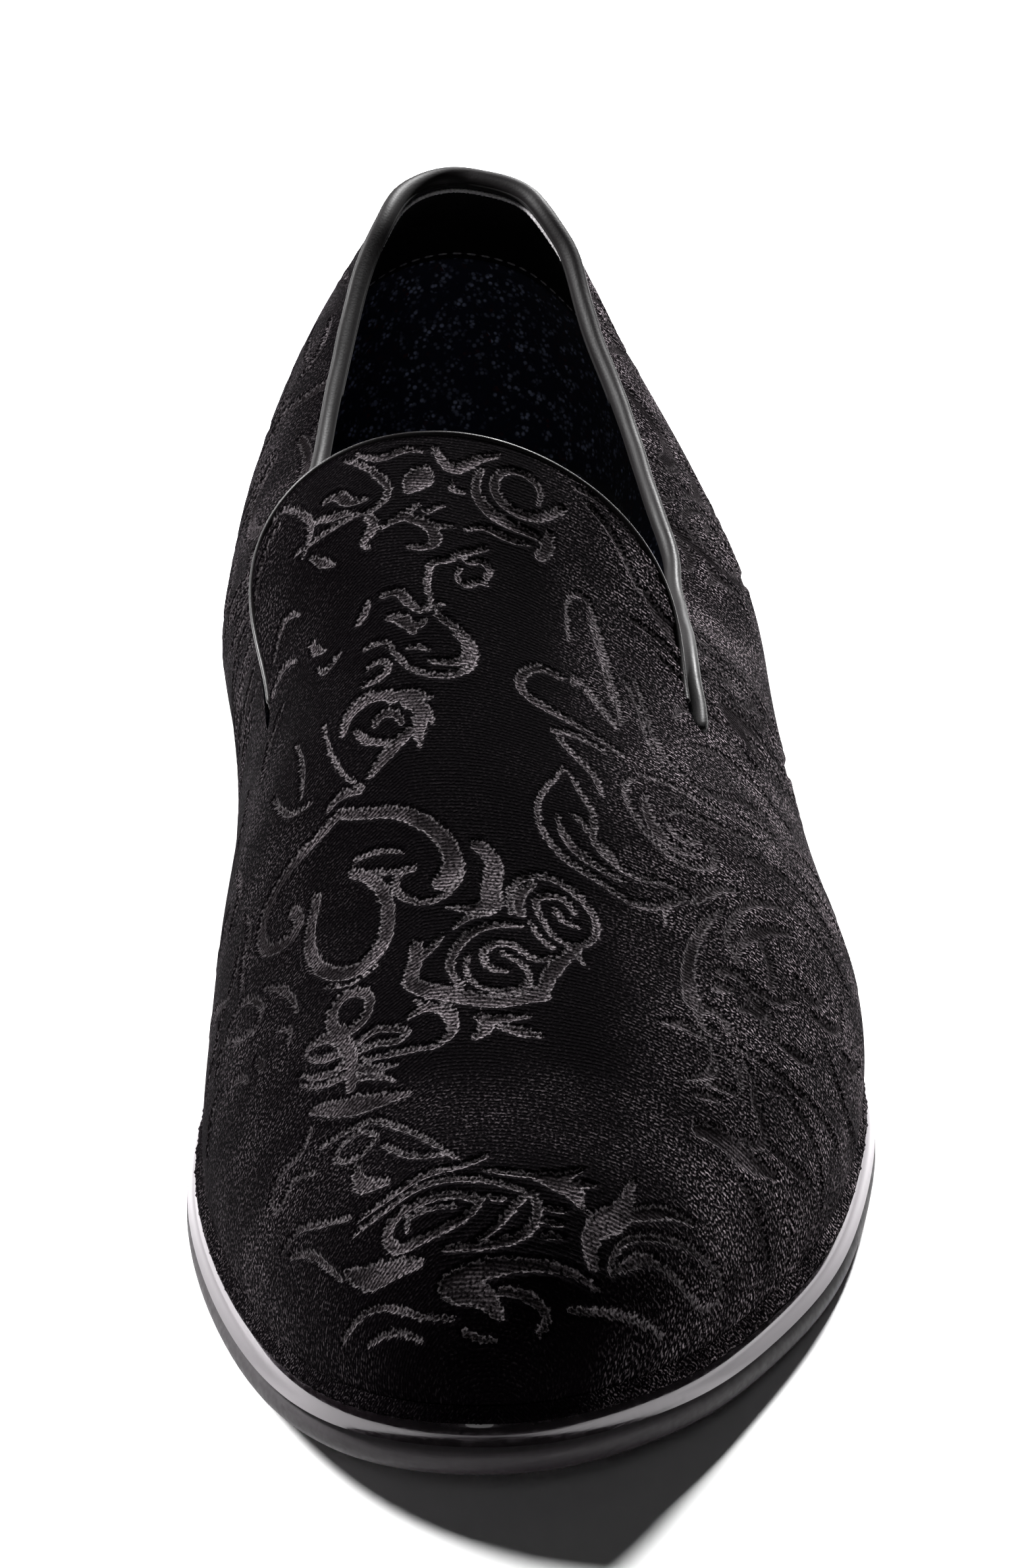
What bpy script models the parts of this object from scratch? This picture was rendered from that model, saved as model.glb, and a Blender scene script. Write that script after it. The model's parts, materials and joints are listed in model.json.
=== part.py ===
"""Velvet slipper loafer, left shoe: upper, bindings, insole, welt, outsole and heel.

Metres, +Z up. The toe points to -Y and the outer (lateral) side of the foot to +X. The origin lies
on the floor under the middle of the shoe's length and width.

The shoe is built over a last. Its plan outline and its height are splines over a turn that starts
at the back of the heel, runs up the inner (medial) side to the toe at half a turn, and comes back
along the lateral side. At each turn one rib, a cubic curve, climbs from the sole's edge to the ridge.
"""

import math

import bmesh
import bpy
import numpy as np

# Driving dimensions of the last and the sole, in metres
LENGTH = 0.302              # outsole, heel to toe
BALL_WIDTH = 0.108          # outsole, across the ball
INSTEP_HEIGHT = 0.070       # from the sole's edge to the ridge at the tongue
COLLAR_HEIGHT = 0.086       # floor to the top line at the back of the heel
HEEL_HEIGHT = 0.017         # floor to the outsole at the heel
TOE_SPRING = 0.008
HEEL_LENGTH = 0.072
OUTSOLE_THICKNESS = 0.0050
WELT_THICKNESS = 0.0033
WELT_LEDGE = 0.0026         # welt that stands out beyond the upper
TOP_LIFT_THICKNESS = 0.0060
INSOLE_THICKNESS = 0.0030
UPPER_WALL = 0.0018
NOTCH_WIDTH = 0.0050
TONGUE_LENGTH = 0.037
BINDING_DEPTH = 0.0034      # leather roll down the outside of the quarter
BINDING_THICKNESS = 0.0010
PIPING_RADIUS = 0.0009
GAP = 0.0003
QUARTER_RISE_SHARE = 14.0 / 17.0   # rise of the quarters' ribs, a share of COLLAR_HEIGHT

# Places along the shoe, as shares of LENGTH from the back of the heel
HEEL_CENTRE_SHARE = 0.140         # where the ribs of the heel fan out from
HEEL_BLEND = 0.10           # turn over which the ribs go over to that fan
HEEL_FLAT_SHARE = 0.200
TREAD_START_SHARE = 0.622
TREAD_END_SHARE = 0.795
NOTCH_SHARE = 0.523

FULL_TURN_ANGLE = 2.0 * math.pi

# Plan outline of the outsole: share of LENGTH, then shares of BALL_WIDTH
OUTLINE_COLUMNS = ("along", "medial", "lateral")
OUTLINE = (
    (0.000, 0.000, 0.000),
    (0.021, -0.180, 0.180),
    (0.072, -0.285, 0.285),
    (0.140, -0.315, 0.322),
    (0.230, -0.311, 0.344),
    (0.340, -0.307, 0.384),
    (0.460, -0.338, 0.446),
    (0.580, -0.398, 0.506),
    (0.670, -0.441, 0.532),
    (0.745, -0.453, 0.504),
    (0.820, -0.426, 0.440),
    (0.885, -0.378, 0.343),
    (0.940, -0.313, 0.235),
    (0.975, -0.236, 0.127),
    (0.994, -0.146, 0.036),
    (1.000, -0.051, -0.051),
)

# Ribs of the last. Ridge: height as a share of INSTEP_HEIGHT, place across as a share of BALL_WIDTH.
# Bulge: how far the wall leans out, a share of BALL_WIDTH. Wall: height of that lean on the rib.
# Crown: how far the rib's top runs out flat from the ridge, a share of the rib's width.
RIB_COLUMNS = ("along", "ridge", "ridge_x", "medial_bulge", "lateral_bulge", "wall",
               "medial_crown", "lateral_crown")
RIBS = (
    (0.000, 1.20, 0.000, 0.040, 0.040, 0.50, 1.00, 1.00),
    (0.056, 1.19, 0.000, 0.055, 0.055, 0.46, 0.46, 0.48),
    (0.126, 1.14, -0.004, 0.115, 0.110, 0.40, 0.30, 0.34),
    (0.225, 1.05, -0.018, 0.260, 0.250, 0.38, 0.08, 0.20),
    (0.320, 1.00, -0.040, 0.300, 0.290, 0.37, 0.48, 0.40),
    (0.404, 0.96, -0.075, 0.210, 0.235, 0.37, 1.42, 0.64),
    (0.503, 0.920, -0.085, 0.108, 0.165, 0.38, 0.96, 0.34),
    (0.603, 0.820, -0.070, 0.062, 0.124, 0.41, 0.84, 0.44),
    (0.669, 0.735, -0.056, 0.034, 0.072, 0.46, 0.70, 0.52),
    (0.735, 0.640, -0.046, 0.018, 0.033, 0.50, 0.62, 0.56),
    (0.801, 0.565, -0.042, 0.008, 0.012, 0.54, 0.60, 0.58),
    (0.851, 0.500, -0.042, 0.003, 0.004, 0.55, 0.58, 0.58),
    (0.917, 0.405, -0.044, 0.001, 0.001, 0.56, 0.58, 0.58),
    (0.950, 0.325, -0.046, 0.000, 0.000, 0.56, 0.58, 0.58),
    (0.980, 0.212, -0.049, 0.000, 0.000, 0.56, 0.58, 0.58),
    (1.000, 0.000, -0.051, 0.000, 0.000, 0.56, 0.58, 0.58),
)

# Top line of the quarters: share of LENGTH, the height as a share of COLLAR_HEIGHT, and how much the
# quarters' ribs are lowered and narrowed at the top, as shares. That draws the collar in.
TOP_LINE_COLUMNS = ("along", "height", "ridge_drop", "crown_drop")
TOP_LINE = (
    (0.000, 1.010, 0.00, 0.00),
    (0.050, 0.985, 0.02, 0.00),
    (0.126, 0.893, 0.10, 0.00),
    (0.225, 0.750, 0.25, 0.00),
    (0.320, 0.665, 0.31, 0.10),
    (0.420, 0.612, 0.27, 0.40),
    (0.523, 0.588, 0.16, 0.45),
)
COLLAR_EASE_SHARE = 0.16          # share of LENGTH over which that drop fades out toward the notch
# The tongue's outline is half a squared oval: 1 is an ellipse and less is squarer
MEDIAL_SQUARE_SHARE = 0.667
LATERAL_SQUARE_SHARE = 0.87
TONGUE_CORNER_ANGLE = 0.70        # where the oval's sides end and its tip starts

# Faces along and across each patch of the upper
VAMP_ROWS = 22
TONGUE_ROWS = 8
QUARTER_ROWS = 52
SIDE_COLUMNS = 9
NOTCH_COLUMNS = 2
TONGUE_HALF_COLUMNS = 7
OUTLINE_POINTS = 96


# Splines

def column(table, names, name):
    """Return one named column of a table."""
    return np.array([row[names.index(name)] for row in table], dtype=float)


def turn_at(along):
    """Return the turn, from 0 at the heel to half a turn at the toe, of a share of the length."""
    return np.arccos(1.0 - 2.0 * np.asarray(along, dtype=float))


def spline(knots, values):
    """Return the natural cubic spline through the values, as a function."""
    widths = np.diff(knots)
    slopes = np.diff(values) / widths
    count = len(knots)
    matrix = np.eye(count)
    right_side = np.zeros(count)
    for index in range(1, count - 1):
        matrix[index, index - 1] = widths[index - 1]
        matrix[index, index] = 2.0 * (widths[index - 1] + widths[index])
        matrix[index, index + 1] = widths[index]
        right_side[index] = slopes[index] - slopes[index - 1]
    bends = np.linalg.solve(matrix, right_side)

    def value_at(place):
        place = np.asarray(place, dtype=float)
        index = np.clip(np.searchsorted(knots, place, side="right") - 1, 0, count - 2)
        width = widths[index]
        after = place - knots[index]
        before = knots[index + 1] - place
        cubic = bends[index] * before ** 3 + bends[index + 1] * after ** 3
        start = (values[index] / width - bends[index] * width) * before
        end = (values[index + 1] / width - bends[index + 1] * width) * after
        return cubic / width + start + end

    return value_at


def ridge_spline(table, names, name):
    """Return a column that both sides share, as a spline over the turn."""
    return spline(turn_at(column(table, names, "along")), column(table, names, name))


def loop_spline(table, names, medial, lateral):
    """Return a medial and a lateral column as one closed spline over the full turn."""
    turns = turn_at(column(table, names, "along"))
    one_turn = np.concatenate([turns, FULL_TURN_ANGLE - turns[-2:0:-1]])
    one_loop = np.concatenate([column(table, names, medial), column(table, names, lateral)[-2:0:-1]])
    knots = np.concatenate([one_turn - FULL_TURN_ANGLE, one_turn, one_turn + FULL_TURN_ANGLE])
    across = spline(knots, np.tile(one_loop, 3))
    return lambda turn: across(np.mod(turn, FULL_TURN_ANGLE))


def mirrored_spline(table, names, name):
    """Return a column that starts at the heel as an even spline over the turn."""
    turns = turn_at(column(table, names, "along"))
    values = column(table, names, name)
    return spline(np.concatenate([-turns[:0:-1], turns]), np.concatenate([values[:0:-1], values]))


OUTLINE_X = loop_spline(OUTLINE, OUTLINE_COLUMNS, "medial", "lateral")
RIDGE_RISE = ridge_spline(RIBS, RIB_COLUMNS, "ridge")
RIDGE_X = ridge_spline(RIBS, RIB_COLUMNS, "ridge_x")
BULGE = loop_spline(RIBS, RIB_COLUMNS, "medial_bulge", "lateral_bulge")
WALL_RISE = loop_spline(RIBS, RIB_COLUMNS, "wall", "wall")
CROWN = loop_spline(RIBS, RIB_COLUMNS, "medial_crown", "lateral_crown")
OUTLINE_SAMPLES = OUTLINE_X(np.linspace(0.0, FULL_TURN_ANGLE, 721))
MIDDLE_X = 0.5 * (OUTLINE_SAMPLES.max() + OUTLINE_SAMPLES.min())
TOP_LINE_RISE = mirrored_spline(TOP_LINE, TOP_LINE_COLUMNS, "height")
RIDGE_DROP = mirrored_spline(TOP_LINE, TOP_LINE_COLUMNS, "ridge_drop")
CROWN_DROP = mirrored_spline(TOP_LINE, TOP_LINE_COLUMNS, "crown_drop")


# The sole's outline and curve

def half_turn(turn):
    """Fold a turn of either side onto 0 at the heel to half a turn at the toe."""
    turn = np.mod(turn, FULL_TURN_ANGLE)
    return np.minimum(turn, FULL_TURN_ANGLE - turn)


def outline_point(turn, offset):
    """Return x, y and the outward normal of the plan outline, moved outward by the offset."""
    step = 1e-4
    x = BALL_WIDTH * (OUTLINE_X(turn) - MIDDLE_X)
    y = 0.5 * LENGTH * np.cos(turn)
    run_x = BALL_WIDTH * (OUTLINE_X(turn + step) - OUTLINE_X(turn - step)) / (2.0 * step)
    run_y = -0.5 * LENGTH * np.sin(turn)
    run = np.hypot(run_x, run_y)
    normal_x = run_y / run
    normal_y = -run_x / run
    return x + offset * normal_x, y + offset * normal_y, normal_x, normal_y


def sole_curve(y):
    """Return the height of the outsole's underside: heel, shank, flat tread and toe spring."""
    along = 0.5 - np.asarray(y, dtype=float) / LENGTH
    shank = np.clip((TREAD_START_SHARE - along) / (TREAD_START_SHARE - HEEL_FLAT_SHARE), 0.0, 1.0)
    spring = np.clip((along - TREAD_END_SHARE) / (1.0 - TREAD_END_SHARE), 0.0, None)
    return HEEL_HEIGHT * shank ** 2 * (3.0 - 2.0 * shank) + TOE_SPRING * spring ** 2


def welt_base(y):
    """Return the height of the welt's underside."""
    return sole_curve(y) + OUTSOLE_THICKNESS + GAP


def seat(y):
    """Return the height of the line where the upper meets the welt."""
    return welt_base(y) + WELT_THICKNESS + GAP


# The last

def collar_ease(turn):
    """Return how fully the quarters are drawn in, from 1 at the heel to 0 at the notch."""
    along = 0.5 - 0.5 * np.cos(turn)
    ease = np.clip((NOTCH_SHARE - along) / COLLAR_EASE_SHARE, 0.0, 1.0)
    return ease ** 2 * (3.0 - 2.0 * ease)


def rib_points(turn, quarters):
    """Return the four control points of the ribs at these turns, each as an array of xyz."""
    x, y, normal_x, normal_y = outline_point(turn, -WELT_LEDGE)
    foot = np.stack([x, y, seat(y)], axis=-1)
    to_centre = (turn_at(HEEL_CENTRE_SHARE) - half_turn(turn)) / HEEL_BLEND
    fold = half_turn(turn) + HEEL_BLEND * np.log1p(np.exp(to_centre))
    ridge_y = (0.5 * LENGTH - WELT_LEDGE) * np.cos(fold)
    ridge_rise = INSTEP_HEIGHT * RIDGE_RISE(fold)
    crown = CROWN(turn)
    if quarters:
        ease = collar_ease(fold)
        drawn_in = COLLAR_HEIGHT * QUARTER_RISE_SHARE * RIDGE_RISE(fold) * (1.0 - RIDGE_DROP(fold))
        ridge_rise = (1.0 - ease) * ridge_rise + ease * drawn_in
        crown = crown * (1.0 - CROWN_DROP(fold) * ease)
    ridge_z = seat(ridge_y) + ridge_rise
    ridge_x = BALL_WIDTH * (RIDGE_X(fold) - MIDDLE_X)
    ridge = np.stack([ridge_x, ridge_y, ridge_z], axis=-1)
    rise = ridge[..., 2] - foot[..., 2]
    lean = BALL_WIDTH * BULGE(turn)
    low = foot + np.stack([lean * normal_x, lean * normal_y, WALL_RISE(turn) * rise], axis=-1)
    high = ridge.copy()
    high[..., :2] += (foot - ridge)[..., :2] * crown[..., None]
    return foot, low, high, ridge


def last_point(turn, climb, quarters=False):
    """Return points of the last: climb runs from 0 at the sole's edge to 1 at the ridge."""
    turn, climb = np.broadcast_arrays(np.asarray(turn, dtype=float), np.asarray(climb, dtype=float))
    foot, low, high, ridge = rib_points(turn, quarters)
    t = climb[..., None]
    s = 1.0 - t
    return s ** 3 * foot + 3.0 * s * s * t * low + 3.0 * s * t * t * high + t ** 3 * ridge


def last_normal(turn, climb, quarters=False):
    """Return the outward unit normals of the last."""
    step = 1e-4
    around = last_point(turn + step, climb, quarters) - last_point(turn - step, climb, quarters)
    upward = last_point(turn, climb + step, quarters) - last_point(turn, climb - step, quarters)
    normal = np.cross(around, upward)
    return normal / np.linalg.norm(normal, axis=-1, keepdims=True)


def climb_at_height(turn, height):
    """Return the climb at which each rib reaches a height above the floor."""
    steps = np.linspace(0.0, 1.0, 101)
    turn = np.atleast_1d(turn)
    heights = last_point(turn[:, None], steps[None, :], quarters=True)[..., 2]
    return np.array([np.interp(top, rib, steps) for top, rib in zip(height, heights)])


def top_line_climb(turn):
    """Return the climb of the quarters' top line."""
    turn = np.atleast_1d(turn)
    return climb_at_height(turn, COLLAR_HEIGHT * TOP_LINE_RISE(half_turn(turn)))


def climb_per_metre(turn, climb):
    """Return how fast the climb of the quarters grows with length along the rib."""
    step = 1e-3
    span = last_point(turn, climb + step, True) - last_point(turn, climb - step, True)
    return 2.0 * step / np.linalg.norm(span, axis=-1)


# Patches of the upper, as turns and climbs

def notch_climbs(turn):
    """Return the climbs across the notch: quarter, gap and tongue, from the sole to the ridge."""
    low = float(top_line_climb(turn)[0])
    high = low + NOTCH_WIDTH * float(climb_per_metre(turn, low))
    quarter = np.linspace(0.0, low, SIDE_COLUMNS + 1)
    gap = np.linspace(low, high, NOTCH_COLUMNS + 1)
    tongue = np.linspace(high, 1.0, TONGUE_HALF_COLUMNS + 1)
    return np.concatenate([quarter, gap[1:], tongue[1:]])


def vamp_patch():
    """Return turns and climbs of the vamp, from the notch to the toe.

    The toe is a half disc: the notch's section is its rim and the sole's edge its straight side.
    """
    notch = float(turn_at(NOTCH_SHARE))
    reach = math.pi - notch
    toe_reach = 0.62 * reach
    lateral = 0.5 * math.pi * notch_climbs(FULL_TURN_ANGLE - notch)
    medial = math.pi - 0.5 * math.pi * notch_climbs(notch)
    angles = np.concatenate([lateral, medial[-2::-1]])
    share = np.linspace(0.0, 1.0, VAMP_ROWS + 1)[:, None]
    across = ((1.0 - share) * reach + share * toe_reach) * np.cos(angles)
    upward = (1.0 - share) * reach * np.sin(angles)
    radius = np.maximum(np.hypot(across, upward), 1e-6)
    angle = np.arctan2(upward, across)
    on_medial = angle > 0.5 * math.pi
    turns = np.where(on_medial, math.pi - radius, math.pi + radius)
    climbs = np.where(on_medial, math.pi - angle, angle) / (0.5 * math.pi)
    for middle in (SIDE_COLUMNS + 1, len(angles) - 2 - SIDE_COLUMNS):
        turns[0, middle] += (math.pi - turns[0, middle]) * 0.018
    return turns, climbs


def quarter_patch():
    """Return turns and climbs of the quarters, from the medial notch round the heel."""
    notch = float(turn_at(NOTCH_SHARE))
    turns = np.linspace(notch, -notch, QUARTER_ROWS + 1)
    share = np.linspace(0.0, 1.0, SIDE_COLUMNS + 1)
    climbs = top_line_climb(turns)[:, None] * share[None, :]
    return np.repeat(turns[:, None], SIDE_COLUMNS + 1, axis=1), climbs


def tongue_patch(vamp_turns, vamp_climbs):
    """Return turns and climbs of the tongue, half an oval on its straight root at the notch."""
    first = SIDE_COLUMNS + NOTCH_COLUMNS
    columns = slice(first, first + 2 * TONGUE_HALF_COLUMNS + 1)
    turns = vamp_turns[0, columns]
    climbs = vamp_climbs[0, columns]
    across = np.abs(np.linspace(-1.0, 1.0, len(turns)))
    side = np.where(turns > math.pi, 1.0, -1.0)
    square = np.where(side > 0.0, LATERAL_SQUARE_SHARE, MEDIAL_SQUARE_SHARE)
    share = np.linspace(0.0, 1.0, TONGUE_ROWS + 1)[:, None]
    tip = 0.5 * math.pi - across * (0.5 * math.pi - TONGUE_CORNER_ANGLE)
    flank = share * TONGUE_CORNER_ANGLE
    tip_wide, tip_high = np.abs(np.cos(tip)) ** square, np.sin(tip) ** square
    corner_wide = math.cos(TONGUE_CORNER_ANGLE) ** square
    corner_high = math.sin(TONGUE_CORNER_ANGLE) ** square
    wide = share * (tip_wide - across * corner_wide) + across * np.cos(flank) ** square
    high = share * tip_high + across * (np.sin(flank) ** square - share * corner_high)
    root = np.where(side > 0.0, climbs[0], climbs[-1])
    reach = TONGUE_LENGTH / (0.5 * LENGTH)
    return turns + side * high * reach, 1.0 - wide * (1.0 - root)


# Meshes

def make_material(name, colour, roughness, metallic=0.0):
    """Return a plain Principled material."""
    material = bpy.data.materials.new(name)
    material.use_nodes = True
    shader = material.node_tree.nodes["Principled BSDF"]
    shader.inputs["Base Color"].default_value = (*colour, 1.0)
    shader.inputs["Roughness"].default_value = roughness
    shader.inputs["Metallic"].default_value = metallic
    return material


def make_object(name, points, faces, material, collection):
    """Return a mesh object with clean outward faces."""
    mesh = bpy.data.meshes.new(name)
    mesh.from_pydata([tuple(point) for point in points], [], faces)
    work = bmesh.new()
    work.from_mesh(mesh)
    bmesh.ops.remove_doubles(work, verts=work.verts, dist=1e-6)
    bmesh.ops.recalc_face_normals(work, faces=work.faces)
    work.to_mesh(mesh)
    work.free()
    mesh.shade_smooth()
    mesh.set_sharp_from_angle(angle=math.radians(35.0))
    mesh.materials.append(material)
    made = bpy.data.objects.new(name, mesh)
    collection.objects.link(made)
    return made


def grid_faces(ids):
    """Return the quads of a grid of point numbers."""
    return [
        (int(ids[row, k]), int(ids[row, k + 1]), int(ids[row + 1, k + 1]), int(ids[row + 1, k]))
        for row in range(ids.shape[0] - 1)
        for k in range(ids.shape[1] - 1)
    ]


def slab(name, turns, rows, material, collection):
    """Return a solid between rings. Each row gives an offset of the outline and a height over y.

    The turns are symmetric, so points i and last - i face each other across the shoe.
    """
    points = []
    for offset, height in rows:
        x, y, _, _ = outline_point(turns, offset)
        points.extend(np.stack([x, y, height(y)], axis=-1))
    count = len(turns)
    ids = np.arange(len(points)).reshape(len(rows), count)
    faces = grid_faces(np.concatenate([ids, ids[:, :1]], axis=1))
    for ring in (ids[0], ids[-1]):
        across = np.stack([ring[:count // 2], ring[::-1][:count // 2]], axis=1)
        faces.extend(grid_faces(across))
    return make_object(name, points, faces, material, collection)


def raised(base, lift):
    """Return the height function of a base curve, raised."""
    return lambda y: base(y) + lift


def outline_turns():
    """Return turns round the whole outline, symmetric about the heel and the toe."""
    return (np.arange(OUTLINE_POINTS) + 0.5) * FULL_TURN_ANGLE / OUTLINE_POINTS


def heel_turns():
    """Return turns round the heel, from the breast's medial corner to its lateral corner."""
    corner = float(turn_at(HEEL_LENGTH / LENGTH))
    return np.linspace(corner, -corner, 42)


# Sub-parts

def build_upper(material, collection):
    """Make the one-piece upper: vamp with tongue, and quarters that meet round the heel."""
    vamp_turns, vamp_climbs = vamp_patch()
    tongue_turns, tongue_climbs = tongue_patch(vamp_turns, vamp_climbs)
    quarter_turns, quarter_climbs = quarter_patch()
    points = []
    faces = []
    for turns, climbs, quarters in (
        (vamp_turns, vamp_climbs, False),
        (tongue_turns, tongue_climbs, False),
        (quarter_turns, quarter_climbs, True),
    ):
        ids = len(points) + np.arange(turns.size).reshape(turns.shape)
        points.extend(last_point(turns, climbs, quarters).reshape(-1, 3))
        faces.extend(grid_faces(ids))
    upper = make_object("upper", points, faces, material, collection)
    point_outward(upper)
    wall = upper.modifiers.new("Wall", "SOLIDIFY")
    wall.thickness = UPPER_WALL
    wall.offset = -1.0
    wall.use_even_offset = True
    wall.thickness_clamp = 0.0
    return upper


def point_outward(shell):
    """Turn an open shell's faces so that the highest one points up."""
    work = bmesh.new()
    work.from_mesh(shell.data)
    highest = max(work.faces, key=lambda face: face.calc_center_median().z)
    if highest.normal.z < 0.0:
        bmesh.ops.reverse_faces(work, faces=work.faces)
    work.to_mesh(shell.data)
    work.free()


def binding_section():
    """Return the binding's section: lengths down the wall and out from its outer face."""
    outside = GAP
    inside = -UPPER_WALL - GAP
    full = BINDING_THICKNESS
    thin = 0.7 * BINDING_THICKNESS
    deep = BINDING_DEPTH
    return (
        (deep, outside),
        (deep, outside + 0.45 * full),
        (0.84 * deep, outside + 0.85 * full),
        (0.50 * deep, outside + full),
        (0.15 * deep, outside + 0.95 * full),
        (-0.55 * full, outside + 0.55 * full),
        (-GAP - 0.9 * full, 0.5 * inside),
        (-0.55 * full, inside - 0.55 * thin),
        (0.15 * deep, inside - thin),
        (0.60 * deep, inside - 0.8 * thin),
        (0.80 * deep, inside),
        (-GAP, inside),
        (-GAP, outside),
    )


def build_collar_binding(material, collection):
    """Make the leather roll over the quarters' top line, from notch to notch round the heel."""
    notch = float(turn_at(NOTCH_SHARE)) - 4.0 * GAP / LENGTH
    turns = np.linspace(notch, -notch, 73)
    edge = top_line_climb(turns)
    rate = climb_per_metre(turns, edge)
    normal = last_normal(turns, edge, True)
    step = 1e-3
    upward = last_point(turns, edge + step, True) - last_point(turns, edge - step, True)
    upward /= np.linalg.norm(upward, axis=-1, keepdims=True)
    from_end = np.minimum(np.arange(73), np.arange(72, -1, -1))
    length_share = np.interp(from_end, (0, 1, 2, 3), (0.62, 0.86, 0.96, 1.0))
    rings = []
    for down, out in binding_section():
        drop = down * np.where(down > 0.0, length_share, 1.0)
        on_wall = last_point(turns, edge - np.maximum(drop, 0.0) * rate, True)
        above = np.maximum(-drop, 0.0)[:, None] * upward
        side = normal
        if down > 0.0:
            side = last_normal(turns, edge - drop * rate, True)
        rings.append(on_wall + above + out * side)
    return build_tube("collar_binding", np.stack(rings, axis=1), material, collection)


def build_tube(name, rings, material, collection):
    """Make a closed solid from rings of points along a path, with flat ends."""
    stations, corners, _ = rings.shape
    ids = np.arange(stations * corners).reshape(stations, corners)
    faces = grid_faces(np.concatenate([ids, ids[:, :1]], axis=1))
    faces.append(tuple(int(number) for number in ids[0]))
    faces.append(tuple(int(number) for number in ids[-1]))
    made = make_object(name, rings.reshape(-1, 3), faces, material, collection)
    work = bmesh.new()
    work.from_mesh(made.data)
    ends = [face for face in work.faces if len(face.verts) > 4]
    bmesh.ops.triangulate(work, faces=ends, ngon_method="EAR_CLIP")
    work.to_mesh(made.data)
    work.free()
    return made


def tongue_edge():
    """Return turns and climbs along the tongue's edge, from the lateral to the medial notch."""
    turns, climbs = tongue_patch(*vamp_patch())
    lateral = list(zip(turns[:-1, 0], climbs[:-1, 0]))
    tip = list(zip(turns[-1, :], climbs[-1, :]))
    medial = list(zip(turns[-2::-1, -1], climbs[-2::-1, -1]))
    return np.array(lateral + tip + medial).T


def build_vamp_piping(material, collection):
    """Make the thin rolled edge round the tongue."""
    turns, climbs = tongue_edge()
    path = last_point(turns, climbs)
    normal = last_normal(turns, climbs)
    run = np.gradient(path, axis=0)
    run /= np.linalg.norm(run, axis=-1, keepdims=True)
    beyond = np.cross(run, normal)
    beyond /= np.linalg.norm(beyond, axis=-1, keepdims=True)
    centre = path + beyond * (GAP + PIPING_RADIUS) - normal * (0.5 * UPPER_WALL)
    centre = centre[1:-1]
    rings = []
    for angle in np.arange(8) * FULL_TURN_ANGLE / 8:
        spread = PIPING_RADIUS * math.cos(angle) * beyond[1:-1]
        rise = 1.35 * PIPING_RADIUS * math.sin(angle) * normal[1:-1]
        rings.append(centre + spread + rise)
    return build_tube("vamp_piping", np.stack(rings, axis=1), material, collection)


def build_insole(material, collection):
    """Make the insole board with its sock, inside the upper's wall."""
    inset = -(WELT_LEDGE + UPPER_WALL + 2.4 * GAP)
    rows = (
        (inset, seat),
        (inset, raised(seat, 0.7 * INSOLE_THICKNESS)),
        (inset - 0.33 * INSOLE_THICKNESS, raised(seat, INSOLE_THICKNESS)),
    )
    return slab("insole", outline_turns(), rows, material, collection)


def build_welt(material, collection):
    """Make the welt layer, with its rounded glossy edge."""
    rows = (
        (-0.27 * WELT_THICKNESS, welt_base),
        (-0.06 * WELT_THICKNESS, raised(welt_base, 0.2 * WELT_THICKNESS)),
        (0.0, raised(welt_base, 0.5 * WELT_THICKNESS)),
        (-0.09 * WELT_THICKNESS, raised(welt_base, 0.8 * WELT_THICKNESS)),
        (-0.33 * WELT_THICKNESS, raised(welt_base, WELT_THICKNESS)),
    )
    return slab("welt", outline_turns(), rows, material, collection)


def build_outsole(material, collection):
    """Make the outsole, with a chamfer round its lower edge."""
    rows = (
        (-0.28 * OUTSOLE_THICKNESS, sole_curve),
        (-0.08 * OUTSOLE_THICKNESS, raised(sole_curve, 0.14 * OUTSOLE_THICKNESS)),
        (0.04 * OUTSOLE_THICKNESS, raised(sole_curve, 0.45 * OUTSOLE_THICKNESS)),
        (-0.04 * OUTSOLE_THICKNESS, raised(sole_curve, 0.88 * OUTSOLE_THICKNESS)),
        (-0.18 * OUTSOLE_THICKNESS, raised(sole_curve, OUTSOLE_THICKNESS)),
    )
    return slab("outsole", outline_turns(), rows, material, collection)


def level(height):
    """Return the height function of a level plane."""
    return lambda y: np.full_like(y, height)


def build_heel_block(material, collection):
    """Make the heel block between the top lift and the outsole."""
    rows = (
        (-WELT_LEDGE, level(TOP_LIFT_THICKNESS + GAP)),
        (-0.28 * OUTSOLE_THICKNESS, raised(sole_curve, -GAP)),
    )
    return slab("heel_block", heel_turns(), rows, material, collection)


def build_top_lift(material, collection):
    """Make the rubber top lift that the heel stands on."""
    rows = (
        (-WELT_LEDGE - 0.20 * TOP_LIFT_THICKNESS, level(0.0)),
        (-WELT_LEDGE - 0.05 * TOP_LIFT_THICKNESS, level(0.12 * TOP_LIFT_THICKNESS)),
        (-WELT_LEDGE, level(TOP_LIFT_THICKNESS)),
    )
    return slab("top_lift", heel_turns(), rows, material, collection)


def main():
    """Clear the scene and build the shoe."""
    for old in list(bpy.data.objects):
        bpy.data.objects.remove(old, do_unlink=True)
    collection = bpy.data.collections.new("velvet_slipper_loafer")
    bpy.context.scene.collection.children.link(collection)
    velvet = make_material("velvet", (0.010, 0.009, 0.010), 0.9)
    leather = make_material("black_leather", (0.016, 0.014, 0.014), 0.38)
    lining = make_material("printed_lining", (0.012, 0.014, 0.024), 0.8)
    edge = make_material("edge_dressing", (0.020, 0.018, 0.019), 0.25)
    rubber = make_material("sole_rubber", (0.030, 0.026, 0.025), 0.6)
    build_upper(velvet, collection)
    build_collar_binding(leather, collection)
    build_vamp_piping(leather, collection)
    build_insole(lining, collection)
    build_welt(edge, collection)
    build_outsole(rubber, collection)
    build_heel_block(edge, collection)
    build_top_lift(rubber, collection)


main()
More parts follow.
